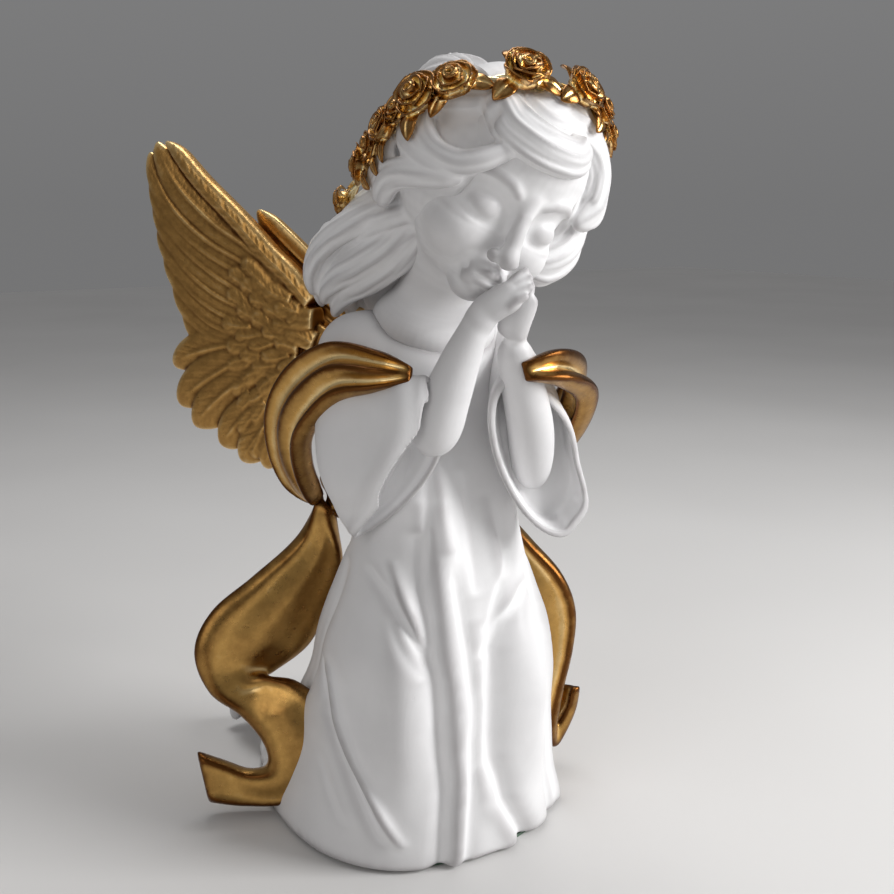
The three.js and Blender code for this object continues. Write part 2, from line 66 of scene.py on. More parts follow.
# ---- Materials ----
class Shader:
    """A Principled material and short ways to add nodes to it."""

    def __init__(self, name, **constants):
        self.material = bpy.data.materials.new(name)
        self.material.use_nodes = True
        self.tree = self.material.node_tree
        self.tree.nodes.clear()
        self.out = self.add("OutputMaterial")
        self.bsdf = self.add("BsdfPrincipled")
        self.tree.links.new(self.bsdf.outputs[0], self.out.inputs[0])
        for key, value in constants.items():
            self.bsdf.inputs[key.replace("_", " ")].default_value = value

    def add(self, kind, settings=(), **inputs):
        made = self.tree.nodes.new("ShaderNode" + kind)
        for key, value in dict(settings).items():
            setattr(made, key, value)
        for key, value in inputs.items():
            self.put(made.inputs[key.replace("_", " ")], value)
        return made

    def put(self, socket, value):
        if isinstance(value, bpy.types.NodeSocket):
            self.tree.links.new(value, socket)
        else:
            socket.default_value = value

    def set(self, name, value):
        self.put(self.bsdf.inputs[name], value)

    def place(self):
        return self.add("TexCoord").outputs["Object"]

    def noise(self, scale, detail=4.0, roughness=0.55, distortion=0.0):
        made = self.add("TexNoise", Vector=self.place(), Scale=scale, Detail=detail)
        made.inputs["Roughness"].default_value = roughness
        made.inputs["Distortion"].default_value = distortion
        return made.outputs["Fac"]

    def ramp(self, value, stops):
        made = self.add("ValToRGB", Fac=value)
        elements = made.color_ramp.elements
        while len(elements) < len(stops):
            elements.new(0.5)
        for element, (place, colour) in zip(elements, stops):
            element.position = place
            element.color = (*colour, 1.0) if len(colour) == 3 else colour
        return made.outputs["Color"]

    def math(self, operation, a, b=0.0, c=0.0):
        made = self.add("Math", {"operation": operation})
        for socket, value in zip(made.inputs, (a, b, c)):
            self.put(socket, value)
        return made.outputs[0]

    def mix(self, factor, a, b, blend="MIX"):
        made = self.add("Mix", {"data_type": "RGBA", "blend_type": blend})
        self.put(made.inputs[0], factor)
        self.put(made.inputs[6], a)
        self.put(made.inputs[7], b)
        return made.outputs[2]

    def bump(self, heights):
        """Bump layers, each (height socket, strength, distance in metres)."""
        normal = None
        for height, strength, distance in heights:
            made = self.add("Bump", Height=height, Strength=strength, Distance=distance)
            if normal is not None:
                self.put(made.inputs["Normal"], normal)
            normal = made.outputs[0]
        self.set("Normal", normal)


def grey(v):
    return (v, v, v)


def white_resin():
    s = Shader("white_resin", Specular_IOR_Level=0.42, Coat_Weight=0.0)
    cavity = s.add("Attribute", {"attribute_name": "cavity"}).outputs["Fac"]
    # Painted shade darkens the hollows and a painted highlight lightens the edges, both read from the cavity
    # attribute.
    edge, flat, hollow = (0.92, 0.915, 0.92), (0.85, 0.845, 0.85), (0.52, 0.505, 0.51)
    tone = s.ramp(cavity, [(0.0, edge), (0.5, flat), (1.0, hollow)])
    patch = s.ramp(s.noise(38, 5), [(0.3, grey(0.93)), (0.75, grey(1.0))])
    s.set("Base Color", s.mix(1.0, tone, patch, "MULTIPLY"))
    s.set("Roughness", s.ramp(s.noise(120, 3), [(0.3, grey(0.40)), (0.7, grey(0.54))]))
    cells = s.add("TexVoronoi", Vector=s.place(), Scale=150.0)
    few = s.math("GREATER_THAN", s.add("SeparateColor", Color=cells.outputs["Color"]).outputs[0], 0.86)
    pit = s.math("MULTIPLY", few, s.math("LESS_THAN", cells.outputs["Distance"], 0.09))
    s.bump([
        (s.math("MULTIPLY", pit, -1.0), 0.7, 0.0003),
        (s.noise(900, 3), 0.10, 0.0002),
        (s.noise(140, 4), 0.12, 0.0006),
    ])
    return s.material


def gold(name, dark, middle, light, rough, grain):
    s = Shader(name, Metallic=1.0)
    cavity = s.add("Attribute", {"attribute_name": "cavity"}).outputs["Fac"]
    # Painted light: the dark colour is painted shade in the hollows and the light colour a painted highlight
    # on the edges, broken up by noise.
    highlight_to_shade = s.math("ADD", cavity, s.math("MULTIPLY", s.math("SUBTRACT", s.noise(170, 6, 0.7), 0.5), 0.35))
    s.set("Base Color", s.ramp(highlight_to_shade, [(0.12, light), (0.42, middle), (0.80, dark)]))
    s.set("Roughness", s.ramp(s.noise(260, 5, 0.65), [(0.3, grey(rough)), (0.75, grey(rough + 0.17))]))
    s.bump([(s.noise(700, 4, 0.6), grain, 0.0004), (s.noise(130, 3), 0.16, 0.0008)])
    return s.material


# Finishes: a material and the slot it fills. Golds go from painted shade in the hollows to a painted
# highlight on the edges.
WHITE = white_resin(), "white_resin"
GOLD = gold("antique_gold", (0.13, 0.05, 0.012), (0.60, 0.35, 0.105), (1.0, 0.76, 0.38), 0.24,
            0.16), "antique_gold"
BRIGHT = gold("bright_gold", (0.30, 0.14, 0.04), (0.90, 0.61, 0.25), (1.0, 0.86, 0.52), 0.19,
              0.22), "bright_gold"
FEATHER = gold("feather_gold", (0.11, 0.04, 0.009), (0.54, 0.30, 0.09), (0.97, 0.70, 0.33), 0.27,
               0.32), "antique_gold"


# ---- Closed meshes from rings ----
def spline(rows, count):
    """Catmull-Rom through the rows, evenly spaced by row number."""
    rows = np.asarray(rows, float)
    ends = np.vstack([2 * rows[:1] - rows[1:2], rows, 2 * rows[-1:] - rows[-2:-1]])
    t = np.linspace(0, len(rows) - 1, count)
    i = np.minimum(t.astype(int), len(rows) - 2)
    f = (t - i)[:, None]
    a, b, c, d = (ends[i + k] for k in range(4))
    return 0.5 * (2 * b + (c - a) * f + (2 * a - 5 * b + 4 * c - d) * f**2 + (3 * b - a - 3 * c + d) * f**3)


def skin(rings):
    """Rings (m, n, 3) as a closed mesh: points, quads, triangles, faces outwards."""
    m, n, _ = rings.shape
    points = np.concatenate([rings.reshape(-1, 3), rings[:1].mean(1), rings[-1:].mean(1)])
    i, j = np.meshgrid(np.arange(m - 1), np.arange(n), indexing="ij")
    k = (j + 1) % n
    quads = np.stack([i * n + j, i * n + k, (i + 1) * n + k, (i + 1) * n + j], -1).reshape(-1, 4)
    j, k = np.arange(n), (np.arange(n) + 1) % n
    last = (m - 1) * n
    tris = np.concatenate([
        np.stack([np.full(n, m * n), k, j], 1),
        np.stack([np.full(n, m * n + 1), last + j, last + k], 1),
    ])
    made = [points, quads, tris]
    if volume(made) < 0:
        made = [points, quads[:, ::-1], tris[:, ::-1]]
    return made


def volume(mesh):
    points, quads, tris = mesh
    faces = np.concatenate([quads[:, [0, 1, 2]], quads[:, [0, 2, 3]], tris])
    a, b, c = (points[faces[:, k]] for k in range(3))
    return np.einsum("ij,ij->i", a, np.cross(b, c)).sum() / 6


def frames_along(path, up):
    """Unit side vectors and normals along a path; the normals lean towards `up`."""
    tangent = unit(np.gradient(path, axis=0))
    side = unit(np.cross(tangent, np.broadcast_to(up, path.shape)))
    return side, np.cross(side, tangent)


def sweep(path, wide, thick, up=(0, 0, 1), steps=60, sides=28, ripple=0.0, waves=5, twist=0.0,
          round_ends=True):
    """A closed body along a path, `wide` across and `thick` along `up` (half-sizes, one per path point)."""
    rows = np.column_stack([path, wide, thick, np.broadcast_to(np.asarray(up, float), (len(path), 3))])
    rows = spline(rows, steps)
    line, w, h, up = rows[:, :3], rows[:, 3], rows[:, 4], rows[:, 5:8]
    if round_ends:
        t = np.linspace(-1, 1, steps)
        cap = np.sqrt(np.clip(1 - np.abs(t) ** 10, 0.0004, 1))
        w, h = w * cap, h * cap
    side, normal = frames_along(line, up)
    turn = np.linspace(0, 2 * np.pi, sides, endpoint=False)
    along = np.linspace(0, 1, steps)[:, None]
    drift = twist * along * 2 * np.pi
    grow = 1 + ripple * (
        0.6 * np.cos(waves * turn[None] + drift)
        + 0.4 * np.cos((2 * waves - 1) * turn[None] - 1.7 * drift)
        + 0.3 * np.cos((3 * waves + 1) * turn[None] + 0.8 * drift)
    )
    across = (w[:, None] * np.cos(turn) * grow)[..., None] * side[:, None]
    outward = (h[:, None] * np.sin(turn) * grow)[..., None] * normal[:, None]
    return skin(line[:, None] + across + outward)


def moved(mesh, matrix):
    """The mesh with its points put through a 4x4 matrix."""
    m = np.array(matrix, float)
    return [mesh[0] @ m[:3, :3].T + m[:3, 3], mesh[1], mesh[2]]


def egg(centre, radii, turn=(0, 0, 0), detail=48):
    """An ellipsoid turned by degrees about X, Y and Z."""
    lat = np.linspace(-0.499 * np.pi, 0.499 * np.pi, detail // 2)
    lon = np.linspace(0, 2 * np.pi, detail, endpoint=False)
    ring = np.stack([
        np.cos(lat)[:, None] * np.cos(lon),
        np.cos(lat)[:, None] * np.sin(lon),
        np.broadcast_to(np.sin(lat)[:, None], (len(lat), detail)),
    ], -1)
    matrix = turned(turn)
    return skin((ring * np.asarray(radii)) @ np.array(matrix.to_3x3()).T + np.asarray(centre, float))


def turned(turn):
    x, y, z = (math.radians(v) for v in turn)
    return Matrix.Rotation(z, 4, "Z") @ Matrix.Rotation(x, 4, "X") @ Matrix.Rotation(y, 4, "Y")


# ---- Clay: solids melted together on a grid of distances ----
def melt(a, b, k):
    if k <= 0:
        return np.minimum(a, b)
    h = np.clip(0.5 + 0.5 * (b - a) / k, 0, 1)
    return b + (a - b) * h - k * h * (1 - h)


class Clay:
    """A block of distances to a surface, in mm. Meshes are joined to it or cut from it with a soft blend."""

    def __init__(self, low, high, voxel, band=6.0):
        self.voxel = voxel
        self.band = band
        self.low = np.floor(np.asarray(low, float) / voxel).astype(int)
        self.size = np.ceil(np.asarray(high, float) / voxel).astype(int) - self.low + 1
        self.field = np.full(self.size, band, np.float32)
        self.grid_move = vdb.createLinearTransform(voxelSize=voxel)

    def distances(self, mesh):
        points, quads, tris = mesh
        grid = vdb.FloatGrid.createLevelSetFromPolygons(
            points.astype(np.float32),
            triangles=tris.astype(np.uint32),
            quads=quads.astype(np.uint32),
            transform=self.grid_move,
            halfWidth=self.band / self.voxel,
        )
        low, high = grid.evalActiveVoxelBoundingBox()
        low = np.maximum(np.array(low), self.low)
        high = np.minimum(np.array(high), self.low + self.size - 1)
        block = np.zeros(np.maximum(high - low + 1, 1), np.float32)
        grid.copyToArray(block, ijk=tuple(int(v) for v in low))
        start = low - self.low
        return tuple(slice(s, s + n) for s, n in zip(start, block.shape)), block

    def join(self, mesh, blend=0.0):
        where, block = self.distances(mesh)
        self.field[where] = melt(self.field[where], block, blend)

    def cut(self, mesh, blend=0.0):
        where, block = self.distances(mesh)
        self.field[where] = -melt(-self.field[where], block, blend)

    def soften(self, times=1):
        for _ in range(times):
            for axis in range(3):
                f = np.moveaxis(self.field, axis, 0)
                f[1:-1] = 0.25 * f[:-2] + 0.5 * f[1:-1] + 0.25 * f[2:]

    def mesh(self):
        grid = vdb.FloatGrid(self.band)
        grid.transform = self.grid_move
        grid.copyFromArray(self.field, ijk=tuple(int(v) for v in self.low))
        points, quads = grid.convertToQuads()
        return np.asarray(points, float), np.asarray(quads, np.int64)[:, ::-1]


# ---- Blender pieces ----
def smoothed(values, edges, counts, times):
    for _ in range(times):
        total = np.stack([
            np.bincount(edges[:, 0], values[edges[:, 1], k], len(values))
            + np.bincount(edges[:, 1], values[edges[:, 0], k], len(values))
            for k in range(values.shape[1])
        ], 1)
        values = total / counts[:, None]
    return values


def read(items, key, width, kind=float):
    values = np.zeros(len(items) * width, kind)
    items.foreach_get(key, values)
    return values.reshape(-1, width)


def paint_cavity(data, scale_mm):
    """Stores how far each point lies in a hollow (1) or on an edge (0) as the attribute `cavity`."""
    count = len(data.vertices)
    points, normals = read(data.vertices, "co", 3), read(data.vertices, "normal", 3)
    edges = read(data.edges, "vertices", 2, np.int64)
    counts = np.maximum(np.bincount(edges.ravel(), minlength=count), 1)
    depth = ((smoothed(points, edges, counts, 14) - points) * normals).sum(1)
    depth = smoothed(depth[:, None], edges, counts, 2)[:, 0]
    attribute = data.attributes.new("cavity", "FLOAT", "POINT")
    attribute.data.foreach_set("value", np.clip(0.5 + 0.5 * depth / (scale_mm * MM), 0,
                                                1).astype(np.float32))


def piece(name, points, faces, finish, nodes, cavity=0.35):
    """A smooth mesh object in metres that rides on the frame and stands for CAD nodes."""
    data = bpy.data.meshes.new(name)
    data.from_pydata([], [], [])
    points = np.asarray(points, float) * MM
    sizes = np.concatenate([np.full(len(f), f.shape[1]) for f in faces])
    corners = np.concatenate([f.ravel() for f in faces])
    data.vertices.add(len(points))
    data.vertices.foreach_set("co", points.ravel())
    data.loops.add(len(corners))
    data.loops.foreach_set("vertex_index", corners)
    data.polygons.add(len(sizes))
    data.polygons.foreach_set("loop_start", np.concatenate([[0], np.cumsum(sizes)[:-1]]))
    data.update(calc_edges=True)
    data.validate()
    data.shade_smooth()
    paint_cavity(data, cavity)
    data.materials.append(finish[0])
    made = bpy.data.objects.new(name, data)
    bpy.context.collection.objects.link(made)
    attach(made, "root")
    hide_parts(*nodes)


def from_clay(name, clay, finish, nodes, cavity=0.35, back=None):
    points, quads = clay.mesh()
    if back is not None:
        m = np.array(back, float)
        points = points @ m[:3, :3].T + m[:3, 3]
    piece(name, points, [quads], finish, nodes, cavity)


def from_meshes(name, meshes, finish, nodes, cavity=0.35):
    points, quads, tris, start = [], [], [], 0
    for p, q, t in meshes:
        points.append(p)
        quads.append(q + start)
        tris.append(t + start)
        start += len(p)
    faces = [np.concatenate(quads), np.concatenate(tris)]
    piece(name, np.concatenate(points), faces, finish, nodes, cavity)


# ---- Gown ----
# Height, middle x and y, half-width, reach to the front and to the back.
GOWN = [
    (1.3, 3, 6, 58, 58, 84),
    (8, 3, 6, 56, 58.5, 82),
    (20, 3, 5, 52, 57, 74),
    (34, 4, 3, 49, 54.5, 60),
    (48, 4, 0, 47.5, 51, 47),
    (64, 5, -4, 46.5, 46, 38),
    (82, 4, -8, 44, 40.5, 34),
    (100, 4, -11, 38, 34, 33),
    (118, 4, -12, 33, 30, 29),
    (136, 4, -12, 30, 27, 26),
    (156, 4, -10, 29, 25, 26),
    (176, 4, -7, 31, 23, 25),
    (190, 4, -4, 33, 20, 22),
    (199, 4, -2, 28, 16, 18),
    (205, 4, -1, 20, 12, 13),
    (208, 4, -1, 10, 6, 7),
]
# Folds: height in or out, width, then (angle, height) points; 270 degrees is the front, 180 the right side.
FOLDS = [
    (3.8, 6.0, [(239, 140), (247, 116), (252, 98), (254, 74), (255, 59), (257, 38), (259, 3)]),
    (-4.6, 4.2, [(230, 129), (234, 110), (241, 90), (245, 75), (246, 60), (250, 39), (253, 3)]),
    (-3.4, 3.2, [(252, 122), (258, 97), (261, 84), (263, 58), (262, 37), (262, 3)]),
    (1.8, 4.0, [(266, 96), (266, 73), (266, 58), (266, 38), (271, 21), (278, 3)]),
    (-4.6, 4.2, [(304, 104), (279, 92), (272, 82), (270, 67), (270, 40), (275, 22), (286, 2)]),
    (-2.2, 2.6, [(292, 118), (278, 101), (272, 91), (270, 80)]),
    (2.8, 2.8, [(209, 118), (222, 107), (231, 99), (239, 87)]),
    (-3.0, 2.5, [(189, 114), (213, 105), (228, 95), (236, 87), (243, 79)]),
    (-1.8, 2.6, [(214, 99), (229, 86), (240, 76)]),
    (-3.6, 2.6, [(172, 74), (187, 53), (201, 38), (216, 24), (229, 12)]),
    (3.2, 3.0, [(178, 74), (193, 54), (206, 40), (222, 26), (236, 11)]),
    (-1.4, 2.4, [(186, 35), (197, 24), (208, 15)]),
    (-1.8, 2.0, [(237, 150), (236, 124), (234, 106)]),
    (1.6, 2.4, [(246, 158), (249, 134), (254, 112)]),
    (-1.6, 2.2, [(262, 150), (266, 128), (268, 104)]),
    (1.5, 2.6, [(276, 140), (280, 120), (283, 106)]),
    (-3.2, 3.4, [(318, 112), (316, 80), (312, 44), (308, 4)]),
    (2.6, 4.0, [(326, 110), (326, 76), (324, 40), (322, 4)]),
    (-3.4, 3.4, [(338, 108), (340, 70), (340, 36), (338, 4)]),
    (2.8, 4.4, [(352, 112), (356, 70), (358, 34), (358, 3)]),
    (-3.6, 3.6, [(8, 116), (14, 72), (20, 36), (24, 3)]),
    (3.0, 5.0, [(24, 118), (32, 74), (42, 36), (48, 3)]),
    (-3.6, 4.0, [(44, 122), (54, 76), (62, 34), (66, 3)]),
    (3.2, 5.0, [(66, 124), (72, 74), (78, 34), (80, 3)]),
    (-3.8, 4.4, [(90, 126), (90, 78), (92, 36), (92, 3)]),
    (3.0, 5.0, [(112, 124), (108, 74), (104, 34), (104, 3)]),
    (-3.4, 4.0, [(134, 120), (126, 72), (118, 34), (116, 3)]),
    (2.6, 4.4, [(150, 116), (144, 72), (136, 36), (132, 3)]),
    (-3.0, 3.4, [(164, 112), (160, 70), (152, 36), (146, 3)]),
]
# Broad swells: height, angle, its spread in degrees, height of the middle and its spread.
SWELLS = [(6.0, 229, 15, 62, 34), (5.5, 290, 14, 58, 34), (2.0, 250, 26, 20, 16)]
ROUNDNESS = 0.86  # 1 gives an ellipse, less a fuller outline
SHOULDERS = [((-21, 3, 189), (16, 15, 17)), ((29, 3, 189), (16, 15, 17)), ((4, -9, 184), (24, 19, 20))]


def gown_loft(rows=300, sides=540):
    table = spline(GOWN, rows)
    table = table[table[:, 0] <= GOWN[-1][0]]
    z, cx, cy, half, front, back = (table[:, k][:, None] for k in range(6))
    angle = np.linspace(0, 360, sides, endpoint=False)[None]
    c, s = np.cos(np.radians(angle)), np.sin(np.radians(angle))
    x = half * np.sign(c) * np.abs(c) ** ROUNDNESS
    y = np.where(s < 0, front, back) * np.sign(s) * np.abs(s) ** ROUNDNESS
    reach = np.hypot(x, y)
    out = np.zeros_like(x)
    for height, width, points in FOLDS:
        a, h = np.array(points, float).T
        order = np.argsort(h)
        middle = np.interp(z, h[order], a[order])
        ends = np.clip((z - h.min()) / 14 + (h.min() < 6), 0, 1) * np.clip((h.max() - z) / 22, 0, 1)
        near = ((angle - middle + 180) % 360 - 180) * np.pi / 180 * reach / width
        shape = np.exp(-(near**2)) if height > 0 else np.exp(-np.abs(near) ** 1.5)
        out += height * np.sqrt(ends) * shape
    for height, at, spread, level, rise in SWELLS:
        out += height * np.exp(-(((angle - at) / spread) ** 2) - ((z - level) / rise) ** 2)
    scale = (reach + out) / np.maximum(reach, 1)
    return skin(np.stack([cx + x * scale, cy + y * scale, np.broadcast_to(z, x.shape)], -1))


gown = Clay((-66, -64, -1), (70, 96, 214), 0.8, 6.0)
gown.join(gown_loft())
for centre, radii in SHOULDERS:
    gown.join(egg(centre, radii), 6)
SKIN = egg((6, -7.5, 201.5), (24, 21, 12), (24, 0, 0))
CHEST = egg((6, -7.5, 201.5), (24.5, 21.5, 12.4), (24, 0, 0))
gown.cut(SKIN, 0.6)
gown.soften()
from_clay("gown", gown, WHITE, ["gown_shell"], 0.5)

# ---- Head ----
HEAD = Matrix.Translation((15, -33, 257)) @ turned((20, 24, -10))
TO_HEAD = HEAD.inverted()


def pair(points):
    return [points, [(-x, y, z) for x, y, z in points]]


def face(clay):
    """A calm sleeping child's face on common proportions, in the head's own frame; -Y is forward."""
    rope = lambda pts, r, **kw: sweep(pts, r, r, up=(0, -1, 0), steps=40, sides=18, **kw)
    clay.join(egg((0, 2, 4), (30.5, 34, 33)))
    clay.join(egg((0, -8, -12), (24, 24, 27)), 6)
    clay.join(egg((0, -12, 9), (24, 22.5, 19)), 6)
    for x in (-1, 1):
        clay.join(egg((13 * x, -20.5, -19), (10.5, 11, 10)), 6)
        clay.cut(egg((11.6 * x, -36.5, -7.5), (8.5, 6, 5.2)), 5)
        clay.join(egg((11.6 * x, -25.6, -8.6), (7.2, 6.6, 5.8)), 1.6)
    clay.join(egg((0, -24.5, -34.5), (7.5, 7, 6)), 6)
    clay.join(rope([(0, -31, 2), (0, -34, -6), (0, -36.6, -13), (0, -38.6, -19)], [3.4, 2.6, 2.8, 3.2]), 4)
    clay.join(egg((0, -38.6, -19.4), (3.9, 3.8, 3.5)), 2)
    for x in (-1, 1):
        clay.join(egg((3.9 * x, -35.8, -20.4), (2.4, 2.9, 2.3)), 1.4)
        clay.cut(egg((1.9 * x, -38.2, -23.4), (1.1, 1.6, 0.9)), 0.6)
    clay.join(egg((0, -31.2, -29.3), (8.6, 4.0, 5.4)), 4)
    clay.cut(rope([(0, -37.6, -23.6), (0, -37.6, -26)], [0.8, 0.9]), 1.2)
    for side in pair([(7.6, -31.0, -28.6), (4.4, -33.8, -27.9), (2.0, -35.2, -27.2), (0, -35.1, -27.8)]):
        clay.join(rope(side, [0.4, 1.1, 1.3, 1.25]), 1.0)
    clay.join(rope([(-6.4, -31.4, -29.8), (-3.2, -33.9, -30.9), (0, -34.6, -31.3), (3.2, -33.9, -30.9),
                    (6.4, -31.4, -29.8)],
                   [0.5, 1.4, 1.7, 1.4, 0.5]), 1.2)
    clay.cut(rope([(-8, -30.8, -28.3), (-4.2, -35.0, -29.1), (0, -36.2, -29.4), (4.2, -35.0, -29.1),
                   (8, -30.8, -28.3)],
                  [0.3, 0.45, 0.5, 0.45, 0.3]), 0.7)
    for x in (-1, 1):
        clay.cut(egg((9.6 * x, -30.6, -28), (1.3, 1.6, 1.5)), 1.5)
    clay.cut(egg((0, -36.4, -34.2), (6, 2.6, 1.5)), 2.5)
    for lash in pair([(4.6, -31.2, -9.6), (8, -32.3, -11.4), (12, -32.4, -12.2), (16, -30.6, -11.2),
                      (18.4, -28.2, -9.4)]):
        clay.cut(rope(lash, [0.35, 0.5, 0.55, 0.5, 0.3]), 0.6)
    for crease in pair([(5.0, -31.2, -6.4), (8.5, -31.9, -4.2), (12.5, -31.2, -3.6), (17, -28.4, -5.4)]):
        clay.cut(rope(crease, [0.25, 0.4, 0.4, 0.25]), 0.8)
    for brow in pair([(5, -33.2, -0.2), (10, -32.6, 2.6), (16, -29.6, 3.0), (21, -25.4, 0.6)]):
        clay.join(rope(brow, [0.9, 1.3, 1.1, 0.6]), 3)


head = Clay((-46, -48, -84), (44, 54, 40), 0.5, 5.0)
face(head)
NECK = sweep([(4, -1, 188), (4.5, -5, 205), (6, -13, 222), (9, -23, 240)], [17, 14, 13.5, 15],
             [15, 13.5, 13.5, 15],
             up=(0, -1, 0.2), steps=60, sides=48)
head.join(moved(NECK, TO_HEAD), 5)
head.join(moved(CHEST, TO_HEAD), 5)
head.soften()
from_clay("head", head, WHITE, ["head"], 0.35, HEAD)

# ---- Hair ----
CAP_AT, CAP_RADII = np.array((0, 3, 0.0)), np.array((35.5, 38.5, 35.0))
CORE = [(15, -28, 300), (15, -28, 262), (11, -16, 240), (6, -2, 215), (4, 0, 190)]


def scalp(lon, lat, lift=0.0):
    """World place over the scalp: 270 degrees is the forehead, 180 the right ear, latitude 90 the top."""
    a, b = math.radians(lon), math.radians(lat)
    ball = np.array((math.cos(b) * math.cos(a), math.cos(b) * math.sin(a), math.sin(b)))
    place = CAP_AT + CAP_RADII * ball + unit(ball / CAP_RADII) * lift
    return tuple(HEAD @ Vector(place))


def outwards(path):
    core = np.array(CORE[::-1], float)
    middle = np.stack([np.interp(path[:, 2], core[:, 2], core[:, k]) for k in range(3)], 1)
    return unit(path - middle)


def strand(path, wide, thick):
    return sweep(path, wide, thick, up=outwards(path), steps=80, sides=112, ripple=0.11, waves=7, twist=0.5)


CROWN_LOCKS = [
    # From the parting over the forehead to the left side.
    ([(214, 46, -1), (226, 38, 0.5), (239, 31, 1), (259, 28, 1.5), (280, 30, 1.5), (293, 38, 0.5),
      (300, 46, -1)],
     [4, 6.5, 7.5, 7.5, 7, 6, 3], [2, 4.2, 5.2, 5.6, 5.2, 4, 2]),
    ([(236, 66, -1.5), (258, 61, -0.5), (280, 58, 0), (305, 54, 0.5), (322, 44, 1), (327, 31, 1.5),
      (326, 20, 2),
      (322, 8, 2), (311, -2, 1)],
     [5, 7, 7, 7, 7.5, 8, 8, 7.5, 4], [2.5, 3.6, 3.8, 4, 4.5, 5, 5, 5, 3]),
    ([(350, 34, -1), (346, 14, 0), (338, -4, 1), (326, -18, 2.5), (315, -30, 2.5), (305, -38, 0.5)],
     [7, 9, 9, 9, 8, 4.5], [3, 4.5, 5, 6, 5.5, 3]),
    # From the parting to the right temple, then back along the hairline.
    ([(222, 44, -1), (212, 35, -0.5), (200, 27, 0), (190, 19, 0.5), (189, 10, 1), (197, 3, 1.3),
      (210, -1.5, 1.6),
      (224, 0, 1.5), (234, 8, 1), (242, 18, 0), (249, 26, -1)],
     [4, 6, 7, 6.5, 5, 4.5, 4.2, 4.2, 4, 3.5, 2.5], [2.5, 3.4, 3.8, 3.8, 3.6, 3.4, 3.4, 3.2, 2.9, 2.4, 1.6]),
    ([(202, 50, -1.5), (188, 38, -0.5), (174, 26, 0), (167, 14, 0.5), (174, 4, 0.8), (186, -4, 1.2),
      (200, -8, 1.5),
      (214, -8, 1.4), (226, -6, 0.6)],
     [5, 6.5, 7, 6.5, 5.5, 5, 4.6, 4, 2.5], [2.5, 3.2, 3.4, 3.4, 3.4, 3.4, 3.4, 3, 1.8]),
    ([(229, -7, -0.5), (220, -11, 1), (208, -16, 1.8), (196, -21, 2), (184, -28, 2.2), (176, -37, 3.6),
      (172, -46, 6)],
     [2.5, 4, 5, 5.4, 5.4, 5.2, 4.5], [1.6, 2.8, 3.5, 3.8, 4, 4, 3.4]),
    # Between the fringe and the wreath.
    ([(222, 60, -1.5), (240, 51, -0.6), (258, 47, -0.4), (276, 49, -0.4), (294, 56, -1.5)],
     [5, 7.5, 8, 7.5, 5], [2.2, 3, 3.2, 3, 2.2]),
    ([(230, 72, -1.5), (246, 62, -0.8), (268, 60, -0.6), (292, 66, -1.5)], [5, 7.5, 7.5, 5],
     [2.2, 3, 3, 2.2]),
    # Down the right side.
    ([(172, 48, -1.5), (158, 30, -0.5), (150, 14, 0), (152, 0, 0.5), (164, -9, 1.2), (172, -18, 2),
      (166, -30, 3.5),
      (158, -40, 7)],
     [6, 8, 8, 7, 6.5, 6.5, 6.5, 6], [2.4, 3, 3.2, 3.4, 3.6, 3.8, 4, 4]),
    ([(150, 52, -1.5), (138, 30, -0.8), (132, 12, -0.2), (132, -6, 0.5), (142, -20, 1.8), (148, -32, 4.5)],
     [6, 9, 9, 9, 8, 7], [2.4, 2.8, 3, 3.2, 3.6, 4]),
]
# Down the back, evenly spread.
for lon in (118, 92, 66, 40, 16, 356):
    CROWN_LOCKS.append(
        ([(lon, 58, -1.5), (lon + 6, 32, -0.8), (lon, 12, -0.4), (lon - 5, -8, 0), (lon + 3, -28, 1.5),
          (lon + 5, -44, 4)],
         [6, 9.5, 10, 10, 9, 7.5], [2.4, 2.8, 3, 3.2, 3.6, 3.6]))
